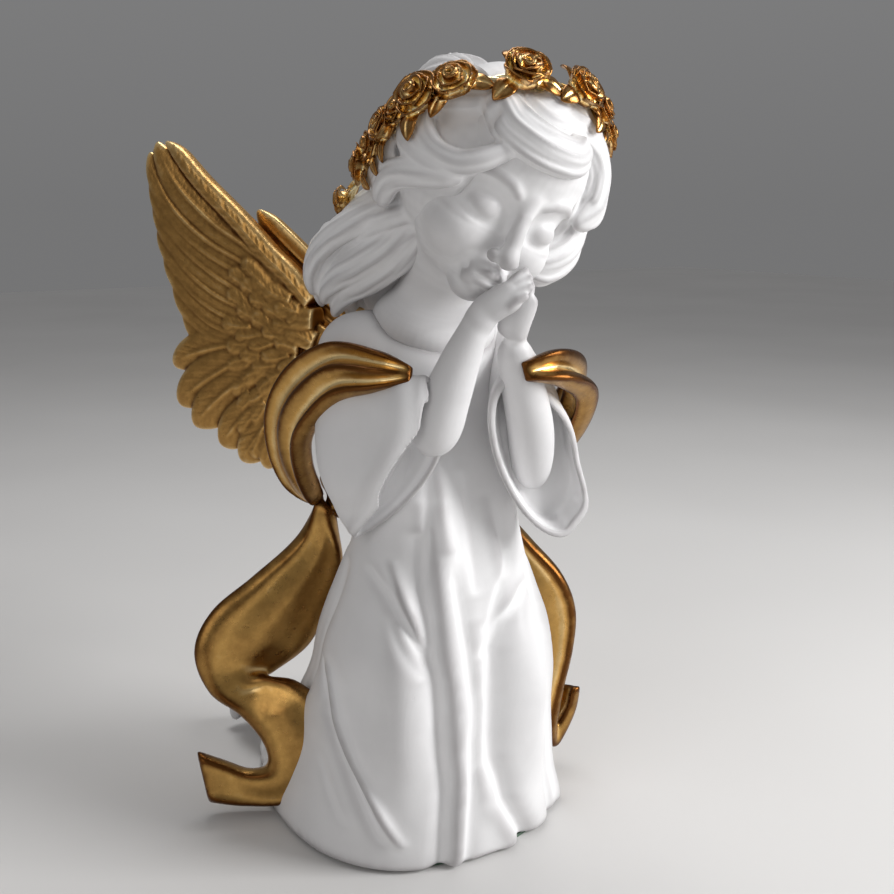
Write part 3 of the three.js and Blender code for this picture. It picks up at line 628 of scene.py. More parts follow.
# Locks that hang free of the head, in world places; the last number is the half-width.
FREE_LOCKS = [
    [(-4, -24, 250, 4), (-8, -20, 245, 5.5), (-13, -12, 242, 6.5), (-17, -2, 239, 7), (-20, 9, 236, 7),
     (-23, 19, 232, 7),
     (-26, 26, 228, 6), (-25, 30, 220, 4)],
    [(-3, -20, 244, 4), (-7, -17, 239, 5), (-11, -10, 235, 6.5), (-15, 0, 232, 7), (-19, 11, 228, 7),
     (-23, 20, 222, 6.5),
     (-25, 26, 214, 5), (-24, 27, 206, 3)],
    [(-4, -16, 237, 3.5), (-7, -14, 231, 5), (-10, -9, 226, 6), (-14, -1, 223, 6.5), (-17, 9, 219, 6.5),
     (-20, 18, 213, 6),
     (-21, 24, 206, 3.5)],
    [(-8, -12, 254, 5), (-13, -3, 249, 6.5), (-16, 7, 244, 7), (-19, 16, 239, 7), (-22, 23, 234, 6.5),
     (-24, 27, 228, 5)],
    [(-14, -8, 246, 5), (-21, 2, 240, 6.5), (-26, 11, 234, 7), (-29, 18, 227, 7), (-30, 22, 219, 6),
     (-30, 22, 211, 3.5)],
    [(-8, -16, 240, 5), (-14, -9, 232, 6.5), (-19, 0, 226, 7), (-23, 9, 221, 7), (-26, 16, 215, 6),
     (-27, 20, 208, 3.5)],
    [(-6, -14, 234, 5), (-11, -8, 226, 6.5), (-16, 0, 220, 7), (-20, 9, 215, 6.5), (-22, 16, 209, 5),
     (-22, 21, 203, 3)],
    [(-4, 4, 252, 7), (-8, 12, 245, 8), (-12, 20, 238, 8), (-15, 25, 230, 8), (-19, 29, 221, 7),
     (-17, 29, 211, 6),
     (-18, 27, 203, 3.5)],
    [(2, 8, 251, 8), (-2, 16, 243, 9), (-6, 23, 234, 9), (-9, 28, 226, 9), (-10, 30, 215, 8),
     (-8, 30, 205, 6),
     (-9, 28, 197, 3)],
    [(10, 6, 252, 8), (7, 16, 243, 9), (4, 24, 233, 9), (2, 28, 222, 9), (2, 30, 211, 8), (4, 30, 202, 5),
     (3, 28, 195, 2.5)],
    [(20, 0, 250, 8), (18, 11, 241, 9), (15, 20, 230, 9), (13, 25, 219, 8), (12, 27, 208, 7),
     (14, 27, 199, 4)],
    [(29, -8, 249, 8), (28, 3, 240, 9), (25, 13, 229, 8.5), (22, 20, 218, 8), (20, 23, 208, 6),
     (22, 23, 201, 3)],
    [(36, -20, 250, 7), (36, -10, 240, 8), (33, 0, 230, 8), (29, 9, 220, 7), (27, 15, 212, 4)],
]

# The wreath's roses are CAD nodes; the hair keeps a channel for the ring through their middles.
HEAD_MIDDLE = np.array(HEAD @ Vector((0, 3, 0)))
ROSES = sorted(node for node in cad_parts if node.startswith("rose_"))
ROSE_BOXES = {name: np.array([tuple(corner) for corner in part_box(name)]) / MM for name in ROSES}
ROSE_MIDDLES = [ROSE_BOXES[name].mean(0) for name in ROSES]
RING_ROWS = 160
WREATH_RING = spline(ROSE_MIDDLES + ROSE_MIDDLES[:1], RING_ROWS)
WREATH_AWAY = unit(WREATH_RING - HEAD_MIDDLE)

hair = Clay((-44, -84, 188), (70, 44, 304), 0.5, 6.0)
hair.join(moved(egg(CAP_AT, CAP_RADII - 1.2), HEAD))
for path, wide, thick in [
    ([(13, -12, 252), (11, -2, 240), (7, 9, 226), (3, 17, 212), (2, 20, 200)], [20, 22, 20, 15, 8],
     [16, 18, 15, 10, 6]),
    ([(-2, -10, 248), (-6, -2, 238), (-9, 8, 228), (-11, 17, 218)], [9, 11, 11, 8], [9, 10, 10, 8]),
]:
    hair.join(sweep(path, wide, thick, up=(0, 1, 0.3), steps=50, sides=48), 4)
hair.cut(moved(egg((1, -40, -12), (26, 27, 31)), HEAD), 2.5)
hair.cut(moved(egg((0, -26, -44), (27, 22, 22)), HEAD), 2.5)
for points, wide, thick in CROWN_LOCKS:
    hair.join(strand(np.array([scalp(*p) for p in points]), wide, thick), 1.3)
for points in FREE_LOCKS:
    rows = np.array(points, float)
    hair.join(strand(rows[:, :3], rows[:, 3], 0.66 * rows[:, 3]), 1.3)
hair.cut(sweep([scalp(228, 32, 4), scalp(222, 20, 4), scalp(212, 10, 4.2), scalp(200, 12, 4)],
               [2, 3, 3, 1.6],
               [2, 3, 3, 1.6], steps=40, sides=24), 2.5)
hair.cut(sweep(WREATH_RING + 5.5 * WREATH_AWAY, [5.5] * RING_ROWS, [5.5] * RING_ROWS, up=WREATH_AWAY,
               steps=200, sides=24,
               round_ends=False), 3)
hair.soften()
from_clay("hair", hair, WHITE,
          ["hair_crown", "hair_fringe", "hair_fall_right", "hair_nape", "hair_bob_left"], 0.45)

# ---- Arms and hands ----
ARM_UP = (-0.85, -0.5, 0)


def arm(name, nodes, elbow, wrist_radii, fingers, palm, low, high):
    clay = Clay(low, high, 0.5, 5.0)
    clay.join(sweep([p[:3] for p in elbow], [p[3] for p in elbow], [p[3] * wrist_radii for p in elbow],
                    up=ARM_UP, steps=70, sides=48))
    for path, wide, thick in palm:
        clay.join(sweep(path, wide, thick, up=ARM_UP, steps=50, sides=40), 3.5)
    for path, radius in fingers:
        clay.join(sweep(path, radius, radius, up=ARM_UP, steps=40, sides=24), 0.9)
    clay.soften()
    from_clay(name, clay, WHITE, nodes, 0.35)


SPREAD = np.array((-0.1, -0.6, -0.79))  # from one finger to the next


def finger(start, end, shift, radius):
    a, b = np.array(start, float) + SPREAD * shift, np.array(end, float) + SPREAD * shift
    middle = (a + b) / 2 + np.array((-0.5, -0.5, 0.7))
    return [tuple(a), tuple(middle), tuple(b)], [radius, radius, radius * 0.8]


arm("arm_right", ["forearm_right", "hand_right"],
    [(-17, -33, 162, 6), (-13.5, -39.5, 167, 9.0), (-11, -44, 180, 8.6), (-7.6, -47.7, 193, 7.0),
     (-4.8, -50.4, 202, 5.6),
     (-2.4, -51.9, 208, 5.0)], 0.92,
    [finger((2.5, -59.0, 213.6), tip, *f) for tip, f in (
        ((10.6, -63.0, 221.6), (-3.0, 1.7)), ((11.4, -63.4, 220.6), (-1.0, 1.8)),
        ((10.6, -63.6, 219.4), (1.2, 1.8)), ((8.4, -63.2, 218.0), (3.2, 1.7)))],
    [([(-3.6, -51.2, 205), (-1.6, -53.6, 209.4), (0.4, -56.4, 212), (3.6, -59.6, 214.6), (6.6, -61.6, 217)],
      [5.4, 5.6, 5.6, 5.4, 4.4], [4.6, 4.0, 3.6, 3.0, 2.6])],
    (-34, -80, 150), (26, -22, 236))
arm("arm_left", ["forearm_left", "hand_left"],
    [(29, -39, 142, 4), (26, -44, 150, 7.6), (22, -48.5, 166, 8.6), (15, -51.5, 186, 7.6),
     (9.6, -52.8, 200, 6.0)], 0.92,
    [finger((11.4, -57.6, 210), (13.8, -58.6, 220.4), *f) for f in ((1.6, 1.8), (-0.8, 1.8), (-3.0, 1.7))],
    [([(9.4, -53.0, 200), (9.7, -55.4, 206), (11.2, -57.4, 211.6), (12.6, -58.4, 216)], [5.8, 5.8, 5.4, 4.4],
      [4.6, 4.2, 3.6, 3.0])],
    (0, -84, 134), (46, -26, 236))

# ---- Sleeves ----
FINE = 400  # rows along a sleeve from which its rings are picked


def sleeve_rings(rows, turn, along, wall, folds, groove):
    """Rings from a middle, two half-axes, a pull on the top and bottom and a push on the side at 180 degrees.

    A row may leave out pull and push. Folds are (angle, spread, height); `groove` is the dip behind the rim.
    """
    rows = spline([(sum(row, ()) + (0,) * 15)[:15] for row in rows], FINE)[(along * (FINE - 1)).astype(int)]
    at, a, b, pull, push = (rows[:, None, k : k + 3] for k in (0, 3, 6, 9, 12))
    t = along[:, None]
    swell = 1.1 * np.exp(-(((t - 0.95) / 0.05) ** 2)) - groove * np.exp(-(((t - 0.78) / 0.05) ** 2)) - wall
    for angle, spread, height in folds:
        near = (np.degrees(turn)[None] - angle + 180) % 360 - 180
        swell = swell + height * t**0.7 * np.exp(-((near / spread) ** 2))
    c, s = np.cos(turn)[None, :, None], np.sin(turn)[None, :, None]
    ring = at + (a + unit(a) * swell[..., None]) * c + (b + unit(b) * swell[..., None]) * s
    return ring + pull * s**2 + push * ((1 - c) / 2) ** 3


def sleeve(name, rows, folds, wall, depth, groove, low, high):
    """A bell sleeve that is solid inside but for a hollow behind its rim, `depth` of its length deep."""
    turn = np.linspace(0, 2 * np.pi, 140, endpoint=False)
    outer = sleeve_rings(rows, turn, np.linspace(0, 1, 110), 0.0, folds, groove)
    inner = sleeve_rings(rows, turn, np.linspace(1, 1 - depth, 70), wall, folds, groove)
    clay = Clay(low, high, 0.5, 5.0)
    clay.join(skin(np.concatenate([outer, inner])))
    clay.soften(2)
    from_clay(name, clay, WHITE, [name], 0.45)


sleeve("sleeve_right",
       [((-22, 4, 190), (10, 3, 3), (-3, 4, 13)),
        ((-27, 0, 173), (12, 4, 1), (-1, 2, 26), (0, 0, 0), (-2.5, 1.5, -1)),
        ((-28, -12, 161), (11.5, 3, 0), (1, -3, 30), (-1, 1, 0), (-5.5, 2.5, -2)),
        ((-24, -27, 158), (9, 2, 0), (5, -8, 31), (-4, 6, 0), (-5, -1.5, -1)),
        ((-22, -33.5, 157.5), (7.5, -0.2, -0.2), (6.2, -10.7, 31), (-5.7, 8.7, -1), (-3.5, -7.5, 1.5)),
        ((-18.6, -40.6, 157.5), (4.8, -2.2, -0.5), (7.5, -13.5, 31), (-7.5, 11.5, -2), (1.5, -7.5, 1.5))],
       [(196, 15, 1.2), (226, 12, -1.2), (160, 13, -0.8), (132, 14, 0.8)], 2.2, 0.36, 0.0, (-54, -66, 112),
       (4, 22, 210))
sleeve("sleeve_left",
       [((34, 5, 190), (10, -3, 3), (3, 4, 13)), ((36, -6, 178), (12, -4, 2), (0, 3, 22)),
        ((35, -21, 168), (13, -5, 0), (-2, 2, 28)), ((30, -38, 160), (15, -4, -2), (-5, 2, 31)),
        ((22, -54, 155), (17.5, -3, -4), (-8, 2, 30))],
       [(330, 14, 1.2), (300, 14, -1.0), (0, 14, -1.0), (30, 16, 1.2)], 2.8, 0.17, 0.9, (-6, -70, 112),
       (62, 22, 212))

# ---- Feet ----
for side, x in (("right", -31), ("left", 35)):
    foot = Clay((x - 16, 66, 2), (x + 16, 114, 34), 0.6, 5.0)
    foot.join(sweep([(x + 2, 70, 20), (x + 1, 80, 18), (x, 91, 15.5), (x - 1, 100, 13)], [8, 9.5, 10, 7.5],
                    [8.5, 9.5, 9, 6.5],
                    up=(0, 0.2, 1), steps=50, sides=48))
    for k in range(5):
        across = (k - 2) * 3.9
        foot.join(egg((x - 1 + across, 101.5 - 0.5 * abs(k - 1) ** 1.5, 8.5), (2.3, 4.4, 3.8)), 1.8)
    foot.soften()
    from_clay("foot_" + side, foot, WHITE, ["foot_" + side], 0.4)

# ---- Scarf ----
def ribbon(rows, folds, steps=200, across=44, side=1.0, roll=0.35):
    """A band between two edge lines. Folds are (place from 0 to 1, width, height in mm)."""
    table = spline(rows, steps)
    a, b, thick = table[:, :3], table[:, 3:6], table[:, 6]
    along = np.linspace(0, 1, steps)
    middle = (a + b) / 2
    tangent = unit(np.gradient(middle, axis=0))
    normal = unit(np.cross(b - a, tangent)) * side
    u = np.linspace(0, 1, across)
    lift = np.zeros((steps, across))
    for place, width, height in folds:
        at = np.interp(along, np.linspace(0, 1, len(place)), place)[:, None] if np.ndim(place) else place
        tall = np.interp(along, np.linspace(0, 1, len(height)),
                         height)[:, None] if np.ndim(height) else height
        lift = lift + tall * np.exp(-(((u[None] - at) / width) ** 2))
    edge = 1 - np.clip(np.minimum(u, 1 - u) / 0.09, 0, 1)
    hem = 1 + roll * np.exp(-(((np.minimum(u, 1 - u) - 0.1) / 0.08) ** 2))
    half = 0.5 * thick[:, None] * (np.sqrt(np.clip(1 - edge**2, 0.02, 1)) * hem)[None]
    cap = np.sqrt(np.clip(1 - np.abs(np.linspace(-1, 1, steps)) ** 40, 0.02, 1))[:, None]
    half = half * cap
    base = a[:, None] + (b - a)[:, None] * u[None, :, None] + normal[:, None] * lift[..., None]
    front = base + normal[:, None] * half[..., None]
    back = (base - normal[:, None] * half[..., None])[:, ::-1]
    return skin(np.concatenate([front, back], 1))


# Bands: one edge point, the other edge point and the thickness.
LOOP_RIGHT = [
    (-21, -38, 190, -23, -40, 185, 4), (-28, -29, 195, -33, -30, 181, 6), (-35, -8, 196, -41, -18, 177, 7),
    (-42, 11, 187, -45, -5, 166, 7), (-46, 24, 171, -45, 3, 157, 7), (-44, 30, 153, -40, 12, 145, 7),
    (-37, 33, 138, -33, 20, 134, 7), (-26, 32, 127, -28, 26, 128, 6),
]
LOOP_LEFT = [
    (10, -59, 192, 11, -60.5, 185.5, 4), (25, -56.5, 195, 27, -61, 182.5, 6),
    (42, -45, 189, 43, -54, 175, 7),
    (51, -31, 177, 49, -43, 162, 7), (54, -15, 164, 50, -29, 148, 7), (52, 3, 152, 47, -13, 138, 7),
    (46, 20, 142, 42, 4, 130, 7), (35, 28, 134, 33, 18, 124, 6),
]
TAIL_RIGHT = [
    (-26, 30, 130, -24, 24, 124, 6), (-35, 34, 112, -17, 28, 101, 5.5), (-53, 38, 97, -22, 31, 82, 5.5),
    (-70, 40, 85, -30, 35, 64, 5.5), (-78, 40, 70, -45, 38, 54, 5.5), (-74, 37, 52, -50, 31, 56, 5.5),
    (-64, 31, 42, -42, 22, 55, 5.5), (-58, 25, 33, -34, 13, 46, 5.5), (-56, 22, 25, -32, 10, 30, 5.5),
    (-58, 23, 20, -36, 12, 13, 5.5), (-64, 28, 19, -48, 17, 4.5, 5.5), (-72, 34, 23, -64, 26, 3.5, 5.5),
    (-80, 39, 27, -78, 33, 6, 6),
]
TAIL_LEFT = [
    (44, 8, 124, 38, 14, 116, 6), (54, -8, 106, 44, 8, 100, 5.5), (64, -16, 92, 48, 6, 84, 5.5),
    (70, -18, 76, 51, 4, 66, 5.5), (69, -18, 58, 52, 2, 50, 5.5), (65, -17, 40, 54, 2, 34, 5.5),
    (62, -16, 22, 56, 3, 18, 5.5), (66, -14, 15, 60, 4, 12, 5.5), (75, -13, 26, 69, 2, 24, 5),
    (77, -14, 38, 70, 0, 36, 5),
]
SWAG = [
    (-25, 29, 139, -23, 27, 121, 6), (-10, 29, 134, -10, 30, 116, 6), (4, 30, 131, 4, 31, 113, 6),
    (18, 29, 134, 18, 30, 116, 6), (31, 25, 139, 29, 24, 122, 6),
]
BANDS = [
    ("scarf_loop_right", LOOP_RIGHT, [(0.52, 0.13, [0, 2.4, 3.2, 2.6, 1.6, 0.8, 0, 0]),
                                      (0.3, 0.12, [0, -1.8, -2.2, -2, -1, 0, 0, 0]),
                                      (0.74, 0.12, [0, -1.6, -2.4, -2.6, -2.4, -2, -1, 0]),
                                      (0.06, 0.1, [0, 1.2, 1.8, 1.6, 1.2, 1, 1, 0])]),
    ("scarf_loop_left", LOOP_LEFT, [(0.5, 0.1, [0, -2.4, -3, -2.6, -2, -1.5, -1, 0]),
                                    (0.22, 0.14, [0, 1.4, 1.8, 1.8, 1.6, 1, 0.5, 0]),
                                    (0.78, 0.14, [0, 1.4, 1.8, 1.8, 1.6, 1, 0.5, 0])]),
    ("scarf_tail_right", TAIL_RIGHT, [(0.5, 0.26, [0, -2, -3, -3.4, -1, 2.5, -2, -3, -2, -1, 0, 0]),
                                      (0.05, 0.08, 1.0), (0.95, 0.08, 1.0)]),
    ("scarf_tail_left", TAIL_LEFT, [(0.45, 0.16, [0, -2, -3, -3.2, -3, -2.6, -2, -1, 0, 0]),
                                    (0.14, 0.1, 1.2), (0.85, 0.12, 1.4)]),
    ("scarf_back", SWAG, [(0.5, 0.12, -2.2), (0.22, 0.14, 1.4), (0.78, 0.14, 1.4)]),
]


def outer_side(rows):
    """+1 when the band's normal points away from the figure's middle, else -1."""
    rows = np.array(rows, float)
    a, b = rows[:, :3], rows[:, 3:6]
    middle = (a + b) / 2
    normal = np.cross(b - a, np.gradient(middle, axis=0))
    away = middle - np.array((4, 0, 0)) * [1, 1, 0]
    away[:, 2] = 0
    return 1.0 if (unit(normal) * unit(away)).sum() > 0 else -1.0


for name, rows, folds in BANDS:
    band = ribbon(rows, folds, side=outer_side(rows))
    low_corner, high_corner = band[0].min(0) - 3, band[0].max(0) + 3
    clay = Clay(low_corner, high_corner, 0.55, 4.0)
    clay.join(band)
    clay.soften()
    from_clay(name, clay, GOLD, [name], 0.45)

# ---- Wings ----
# A wing lies in an upright plane through the middle: OUT runs along it, ACROSS leaves it.
OUT, ACROSS = np.array((-0.505, 0.863, 0)), np.array((0.863, 0.505, 0))
WING_SHIFT = -0.8
MIRROR_X = 4.0


def ripples(phase, seed):
    """A cast, uneven groove pattern: sharp valleys and round ridges."""
    wobble = 0.22 * np.sin(2.1 * phase + seed) + 0.16 * np.sin(0.73 * phase + 2.3 * seed)
    return np.abs(np.sin(np.pi * (phase + wobble))) ** 0.6 - 0.55


def feather(line, width, thick, lift, sign, tilt=0.0, pitch=2.1, slant=2.4, depth=0.55, shaft=0.7, seed=0.0,
            blunt=0.8, steps=110, across=37):
    """One feather from the wing's middle plane out to its ribbed face, in (out, up, across) places."""
    rows = spline([p + (w,) for p, w in zip(line, width)], steps)
    path, w = rows[:, :2], rows[:, 2]
    step = np.linalg.norm(np.diff(path, axis=0), axis=1)
    length = np.concatenate([[0], np.cumsum(step)])
    t = length / length[-1]
    w = w * np.sqrt(np.clip(1 - np.clip((t - blunt) / (1 - blunt), 0, 1) ** 2.2, 0.01, 1))
    tangent = unit(np.gradient(path, axis=0))
    normal = np.stack([-tangent[:, 1], tangent[:, 0]], 1)
    u = np.linspace(-1, 1, across)[None]
    phase = (length[:, None] - slant * np.abs(u) * w[:, None]) / pitch
    crown = np.sqrt(np.clip(1 - np.abs(u) ** 2.6, 0.0, 1))
    relief = depth * ripples(phase, seed) * (1 - np.exp(-((u / 0.16) ** 2))) * crown
    spine = shaft * np.exp(-((u / 0.11) ** 2)) * (1 - t[:, None] ** 3)
    height = lift + thick * crown + tilt * u + relief + spine
    fade = np.sqrt(np.clip(1 - t[:, None] ** 12, 0.02, 1))
    flat = path[:, None] + normal[:, None] * (w[:, None] * u)[..., None]
    top = np.concatenate([flat, (sign * height * fade)[..., None]], 2)
    bottom = np.concatenate([flat, np.broadcast_to(-0.2 * sign, height.shape)[..., None]], 2)[:, ::-1]
    return skin(np.concatenate([top, bottom], 1))


PRIMARIES = [
    [(56, 216), (75, 229), (91, 238), (107, 251), (117, 264), (121, 271)],
    [(56, 211), (76, 222), (95, 231), (111, 243), (121, 257), (125, 267)],
    [(56, 207), (76, 217), (92, 224), (108, 234), (119, 246), (125, 257)],
    [(56, 202), (77, 210), (92, 217), (107, 227), (118, 238), (124, 247)],
    [(56, 198), (78, 204), (92, 209), (106, 218), (117, 229), (122, 237)],
    [(56, 194), (79, 198), (92, 202), (104, 209), (114, 219), (119, 227)],
    [(56, 191), (80, 193), (94, 196), (105, 203), (111, 210), (114, 216)],
    [(56, 188), (80, 189), (92, 190), (101, 194), (107, 199), (110, 203)],
]
SECONDARIES = [
    ([(60, 190), (78, 189), (94, 186), (108, 182), (118, 177)], [5, 8, 9, 8.5, 7]),
    ([(60, 184), (80, 181), (95, 174), (108, 166), (116, 160)], [5, 8.5, 10, 10, 8]),
    ([(60, 178), (78, 173), (90, 166), (101, 157), (108, 151)], [5, 8, 9.5, 9.5, 7]),
    ([(58, 172), (70, 165), (81, 156), (89, 148), (94, 144)], [5, 7, 8.5, 8.5, 6]),
    ([(56, 168), (64, 160), (72, 150), (79, 142), (83, 138)], [5, 6, 7.5, 7.5, 5]),
    ([(54, 164), (60, 155), (65, 146), (68, 140), (70, 136)], [4, 5, 6, 6, 4]),
]
RIM = [(44, 207), (54, 217), (64, 225), (78, 238), (97, 254), (109, 266), (116, 271)]


def wing_side(clay, sign, seed):
    for k, line in enumerate(PRIMARIES):
        clay.join(feather(line, [5, 6.5, 7, 7, 6, 4], 1.3, 1.3 - 0.03 * k, sign, tilt=0.9 * sign, pitch=2.3,
                          slant=3.2,
                          depth=0.75, shaft=1.0, seed=seed + k, blunt=0.72), 0.15)
        middle = [((a + c) / 2, (b + d) / 2) for (a, b), (c, d) in zip(line, PRIMARIES[min(k + 1, 7)])]
        clay.join(feather(middle, [1.2, 1.3, 1.4, 1.4, 1.2, 0.8], 1.2, 1.7, sign, pitch=3.5, slant=1.0,
                          depth=0.25,
                          shaft=0.3, seed=seed + 3 * k, across=17), 0.3)
    for k, (line, width) in enumerate(SECONDARIES):
        clay.join(feather(line, width, 1.5, 1.2 + 0.12 * k, sign, tilt=-0.8 * sign, pitch=2.0, slant=2.0,
                          depth=0.65,
                          shaft=0.8, seed=seed + 5 + k, blunt=0.6), 0.15)
    clay.join(feather(RIM, [4, 4.4, 4.4, 4.2, 3.8, 3.2, 2], 2.6, 1.4, sign, pitch=4.0, slant=1.6, depth=0.5,
                      shaft=0.5,
                      seed=seed, blunt=0.85), 0.4)
    for row in range(6):
        reach = 82 - 6.4 * row
        for k in range(9):
            z = 146 + 8.6 * k + 4.3 * (row % 2)
            s = reach - 0.0105 * (z - 192) ** 2 * (0.4 + 0.1 * row)
            root = np.interp(z, [140, 150, 162, 176, 186, 202, 212, 222], [66, 66, 64, 57, 49, 44, 48, 60])
            if s < root + 1 or z > 222 - 0.9 * row:
                continue
            lean = np.interp(z, [145, 165, 185, 200, 220], [-62, -38, -8, 16, 36])
            lean = math.radians(lean + 9 * math.sin(3.1 * k + row))
            size = 7.5 + 1.2 * math.sin(2.3 * k + 1.7 * row)
            step = np.array((math.cos(lean), math.sin(lean)))
            bend = np.array((-step[1], step[0])) * 1.4 * math.sin(1.9 * k + row)
            start = np.array((s, z)) - step * size
            line = [tuple(start), tuple(start + step * size + bend), tuple(start + step * size * 1.9)]
            clay.join(feather(line, [4.2, 5.2, 4.2], 1.5, 1.9 + 0.28 * row, sign,
                              tilt=0.7 * math.sin(k + row), pitch=1.9,
                              slant=1.3, depth=0.6, shaft=0.5, seed=seed + k + 2 * row, blunt=0.5, steps=46,
                              across=25), 0.15)


def plume_side(clay, sign, seed):
    for k, line in enumerate([
        [(28, 201), (42, 214), (57, 226), (69, 236), (76, 243)],
        [(28, 197), (44, 208), (60, 220), (72, 230), (79, 237)],
        [(30, 192), (46, 203), (61, 213), (73, 222), (79, 228)],
    ]):
        clay.join(feather(line, [4, 5, 5.6, 5.2, 3.6], 1.2, 0.9 - 0.1 * k, sign, tilt=0.6, pitch=2.2,
                          slant=4.0,
                          depth=0.5, shaft=0.7, seed=seed + k, blunt=0.8), 0.2)


def to_world(points, shift):
    return points[:, :1] * OUT + points[:, 1:2] * np.array((0, 0, 1)) + (points[:, 2:] + shift) * ACROSS


def two_wings(kind, clay, shift):
    points, quads = clay.mesh()
    points = to_world(points, shift)
    if volume([points, quads, np.zeros((0, 3), int)]) < 0:
        quads = quads[:, ::-1]
    piece(kind + "_right", points, [quads], FEATHER, [kind + "_right"], 0.4)
    mirrored = points * (-1, 1, 1) + (2 * MIRROR_X, 0, 0)
    piece(kind + "_left", mirrored, [quads[:, ::-1]], FEATHER, [kind + "_left"], 0.4)


wing = Clay((4, 130, -9), (132, 278, 9), 0.42, 2.6)
for centre, radii in [((60, 196, 0), (17, 20, 2.4)), ((66, 172, 0), (17, 26, 2.4)),
                      ((88, 196, 0), (22, 16, 1.8)),
                      ((90, 172, 0), (20, 16, 1.8)), ((74, 214, 0), (20, 12, 1.8))]:
    wing.join(egg(centre, radii), 1)
wing.join(sweep([(10, 184, -2), (22, 186, 0), (36, 189, 1.5), (50, 194, 0.5)], [5, 5, 6.5, 8],
                [5, 5, 5, 3.5],
                steps=40, sides=36), 2)
for sign, seed in ((-1, 0.4), (1, 2.9)):
    wing_side(wing, sign, seed)
wing.soften()
two_wings("wing", wing, WING_SHIFT)
plume = Clay((20, 188, -5), (84, 256, 5), 0.42, 2.6)
for sign, seed in ((-1, 1.3), (1, 4.2)):
    plume_side(plume, sign, seed)
plume.soften()
two_wings("wing_plume", plume, 6.8)

# ---- Wreath ----
def petal(angle, spread, foot, mouth, height, curl, thick=0.75, count=18):
    """A cupped petal about +Z; `foot` and `mouth` are its distances from the middle."""
    v = np.linspace(0, 1, count)[:, None]
    u = np.linspace(-1, 1, count)[None]
    far = foot + (mouth - foot) * np.sin(v * np.pi / 2) ** 0.9 + curl * np.clip(v - 0.72, 0, 1) ** 2 * 12
    tall = height * (v - 0.55 * np.clip(v - 0.8, 0,
                                        1) ** 2 * 6 * np.sign(curl)) * (1 - 0.16 * np.abs(u) ** 3)
    turn = np.radians(angle + spread * u * (0.55 + 0.45 * np.sin(v * np.pi * 0.8)))
    surface = lambda r, z: np.stack([r * np.cos(turn), r * np.sin(turn), np.broadcast_to(z, r.shape)], -1)
    far = far * (1 + 0.05 * u**2)
    return skin(np.concatenate([surface(far + thick / 2, tall), surface(far - thick / 2, tall)[:, ::-1]], 1))


def bloom(seed, petals):
    """A cast rose of radius 8 mm that opens towards +Z, on its own clay."""
    clay = Clay((-15, -15, -4), (15, 15, 11), 0.3, 1.8)
    clay.join(egg((0, 0, 0.6), (5.5, 5.5, 3)))
    turn = 40 * seed
    for count, foot, mouth, height, curl, spread in petals:
        for k in range(count):
            wave = 0.5 * math.sin(5 * seed + 2.4 * k)
            clay.join(petal(turn + k * 360 / count, spread, foot, mouth + wave, height + 0.4 * wave, curl),
                      0.25)
        turn += 33
    angle = np.linspace(0, 4.6 * np.pi, 40)
    reach = 0.5 + 0.17 * angle
    spiral = np.stack([reach * np.cos(angle), reach * np.sin(angle), 4.6 - 0.05 * angle], 1)
    clay.join(sweep(spiral, [0.42] * 40, [2.9] * 40, steps=160, sides=14), 0.2)
    for k in range(3):
        lean = math.radians(seed * 77 + 120 * k)
        step = np.array((math.cos(lean), math.sin(lean), 0))
        rise = np.array((0, 0, 1.0))
        path = [step * 4, step * 8 + rise * 0.8, step * 11 - rise * 0.4, step * 13.5 - rise * 2.2]
        clay.join(sweep(path, [2.2, 3.6, 2.8, 0.5], [0.9, 0.8, 0.7, 0.4], steps=36, sides=20), 0.3)
        clay.cut(sweep([p + rise * 0.75 for p in path], [0.35] * 4, [0.45] * 4, steps=30, sides=10), 0.3)
    clay.soften()
    return clay.mesh()


OPEN_PETALS = [(5, 3.0, 7.6, 4.6, 1.0, 46), (4, 2.4, 5.6, 6.2, 0.6, 56), (3, 1.8, 3.9, 7.0, 0.3, 70)]
SHUT_PETALS = [(5, 3.4, 6.6, 6.2, 0.7, 48), (4, 2.6, 4.9, 7.2, 0.3, 58), (3, 1.6, 3.2, 7.6, 0.1, 72)]
WIDE_PETALS = [(6, 3.0, 8.4, 3.2, 1.2, 40), (5, 2.8, 6.4, 5.0, 0.9, 48), (4, 2.0, 4.4, 6.4, 0.4, 60)]
BLOOMS = [bloom(1, OPEN_PETALS), bloom(2, WIDE_PETALS), bloom(3, SHUT_PETALS), bloom(4, OPEN_PETALS)]
for index, name in enumerate(ROSES):
    middle = ROSE_MIDDLES[index]
    size = 0.5 * np.ptp(ROSE_BOXES[name], axis=0).max()
    axis = unit(middle - HEAD_MIDDLE)
    turn = Vector(axis).to_track_quat("Z", "Y").to_matrix().to_4x4() @ Matrix.Rotation(2.4 * index, 4, "Z")
    points, quads = BLOOMS[index % len(BLOOMS)]
    m = np.array(turn)[:3, :3] * (size / 7.6)
    piece(name, points @ m.T + middle - 0.4 * axis, [quads], BRIGHT, [name], 0.22)
ring = WREATH_RING - 2.0 * WREATH_AWAY
wind = np.linspace(0, 22 * np.pi, len(ring))[:, None]
side = unit(np.cross(np.gradient(ring, axis=0), WREATH_AWAY))
strands = [ring + 1.2 * (WREATH_AWAY * np.cos(wind + k) + side * np.sin(wind + k)) for k in (0, 2.1, 4.2)]
from_meshes("wreath_stem", [sweep(s, [1.1] * RING_ROWS, [1.1] * RING_ROWS, up=WREATH_AWAY, steps=400,
                                  sides=12)
                             for s in strands],
            BRIGHT, ["wreath_stem"], 0.3)


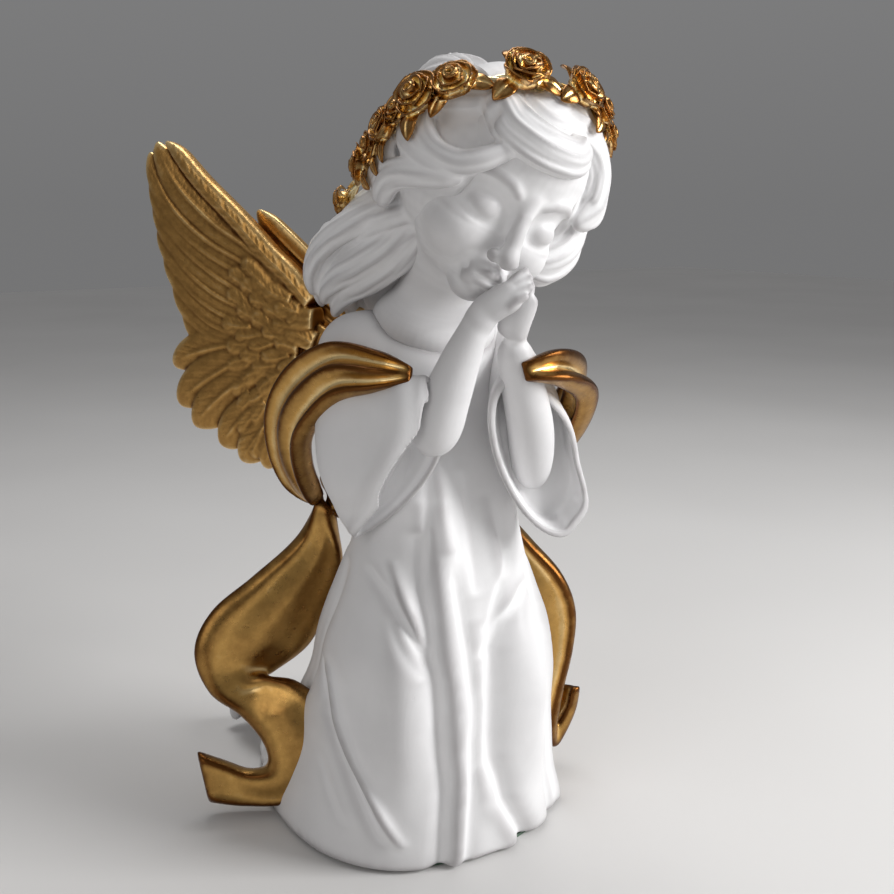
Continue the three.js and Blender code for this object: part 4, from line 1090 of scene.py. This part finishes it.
# ---- Board and felt under the casting ----
def pressed_board():
    """Brown fibreboard: fine fibres in two sizes and a few darker chips."""
    s = Shader("pressed_board", Roughness=0.85)
    dark, middle, light = (0.20, 0.12, 0.06), (0.36, 0.24, 0.13), (0.46, 0.33, 0.2)
    s.set("Base Color", s.ramp(s.noise(420, 6, 0.7), [(0.35, dark), (0.6, middle), (0.8, light)]))
    s.bump([(s.noise(900, 5, 0.7), 0.35, 0.0004)])
    return s.material


def green_felt():
    """Dark green felt: short matted fibres with a soft sheen."""
    s = Shader("green_felt", Roughness=0.95, Sheen_Weight=0.5, Sheen_Roughness=0.5)
    fibres = s.noise(1600, 6, 0.75, 2.0)
    s.set("Base Color", s.ramp(fibres, [(0.3, (0.012, 0.05, 0.022)), (0.7, (0.03, 0.12, 0.05))]))
    s.bump([(fibres, 0.8, 0.0004)])
    return s.material


for node, material in (("base_plate", pressed_board()), ("base_felt", green_felt())):
    for material_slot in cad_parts[node].material_slots:
        material_slot.material = material


# ---- Lights and floor ----
def lamp(name, place, aim, size, power, colour=(1, 1, 1)):
    """A rectangular lamp; places and sizes in metres, power in watts."""
    light = bpy.data.objects.new(name, bpy.data.lights.new(name, "AREA"))
    light.data.shape = "RECTANGLE"
    light.data.size, light.data.size_y = size
    light.data.energy = power
    light.data.color = colour
    light.location = place
    light.rotation_euler = (Vector(aim) - Vector(place)).to_track_quat("-Z", "Y").to_euler()
    bpy.context.collection.objects.link(light)


lamp("window", (0.66, -0.66, 0.56), (0, 0, 0.17), (0.4, 0.6), 10.5)
lamp("ceiling", (0.15, 0.3, 1.05), (0, 0, 0.1), (0.5, 0.5), 3.4)
lamp("room", (-0.85, -0.4, 0.5), (0, 0, 0.15), (0.5, 0.7), 1.2, (1.0, 0.97, 0.95))
world = bpy.data.worlds.new("studio")
world.use_nodes = True
sky = world.node_tree
height = sky.nodes.new("ShaderNodeSeparateXYZ")
sky.links.new(sky.nodes.new("ShaderNodeTexCoord").outputs["Generated"], height.inputs[0])
blend = sky.nodes.new("ShaderNodeValToRGB")
for element, (at, tone) in zip(blend.color_ramp.elements, ((0.0, 0.42), (0.6, 0.62))):
    element.position, element.color = at, (tone, tone, tone * 1.01, 1)
sky.links.new(height.outputs[2], blend.inputs[0])
sky.links.new(blend.outputs[0], sky.nodes["Background"].inputs[0])
sky.nodes["Background"].inputs[1].default_value = 0.42
bpy.context.scene.world = world

bpy.ops.mesh.primitive_plane_add(size=6)
floor = bpy.context.object
floor.name = "floor"
ground = Shader("floor_paper")
PALE, PALER = (0.66, 0.65, 0.64), (0.70, 0.69, 0.68)
ground.set("Base Color", ground.ramp(ground.noise(3, 2), [(0.3, PALE), (0.7, PALER)]))
ground.bsdf.inputs["Roughness"].default_value = 0.7
floor.data.materials.append(ground.material)
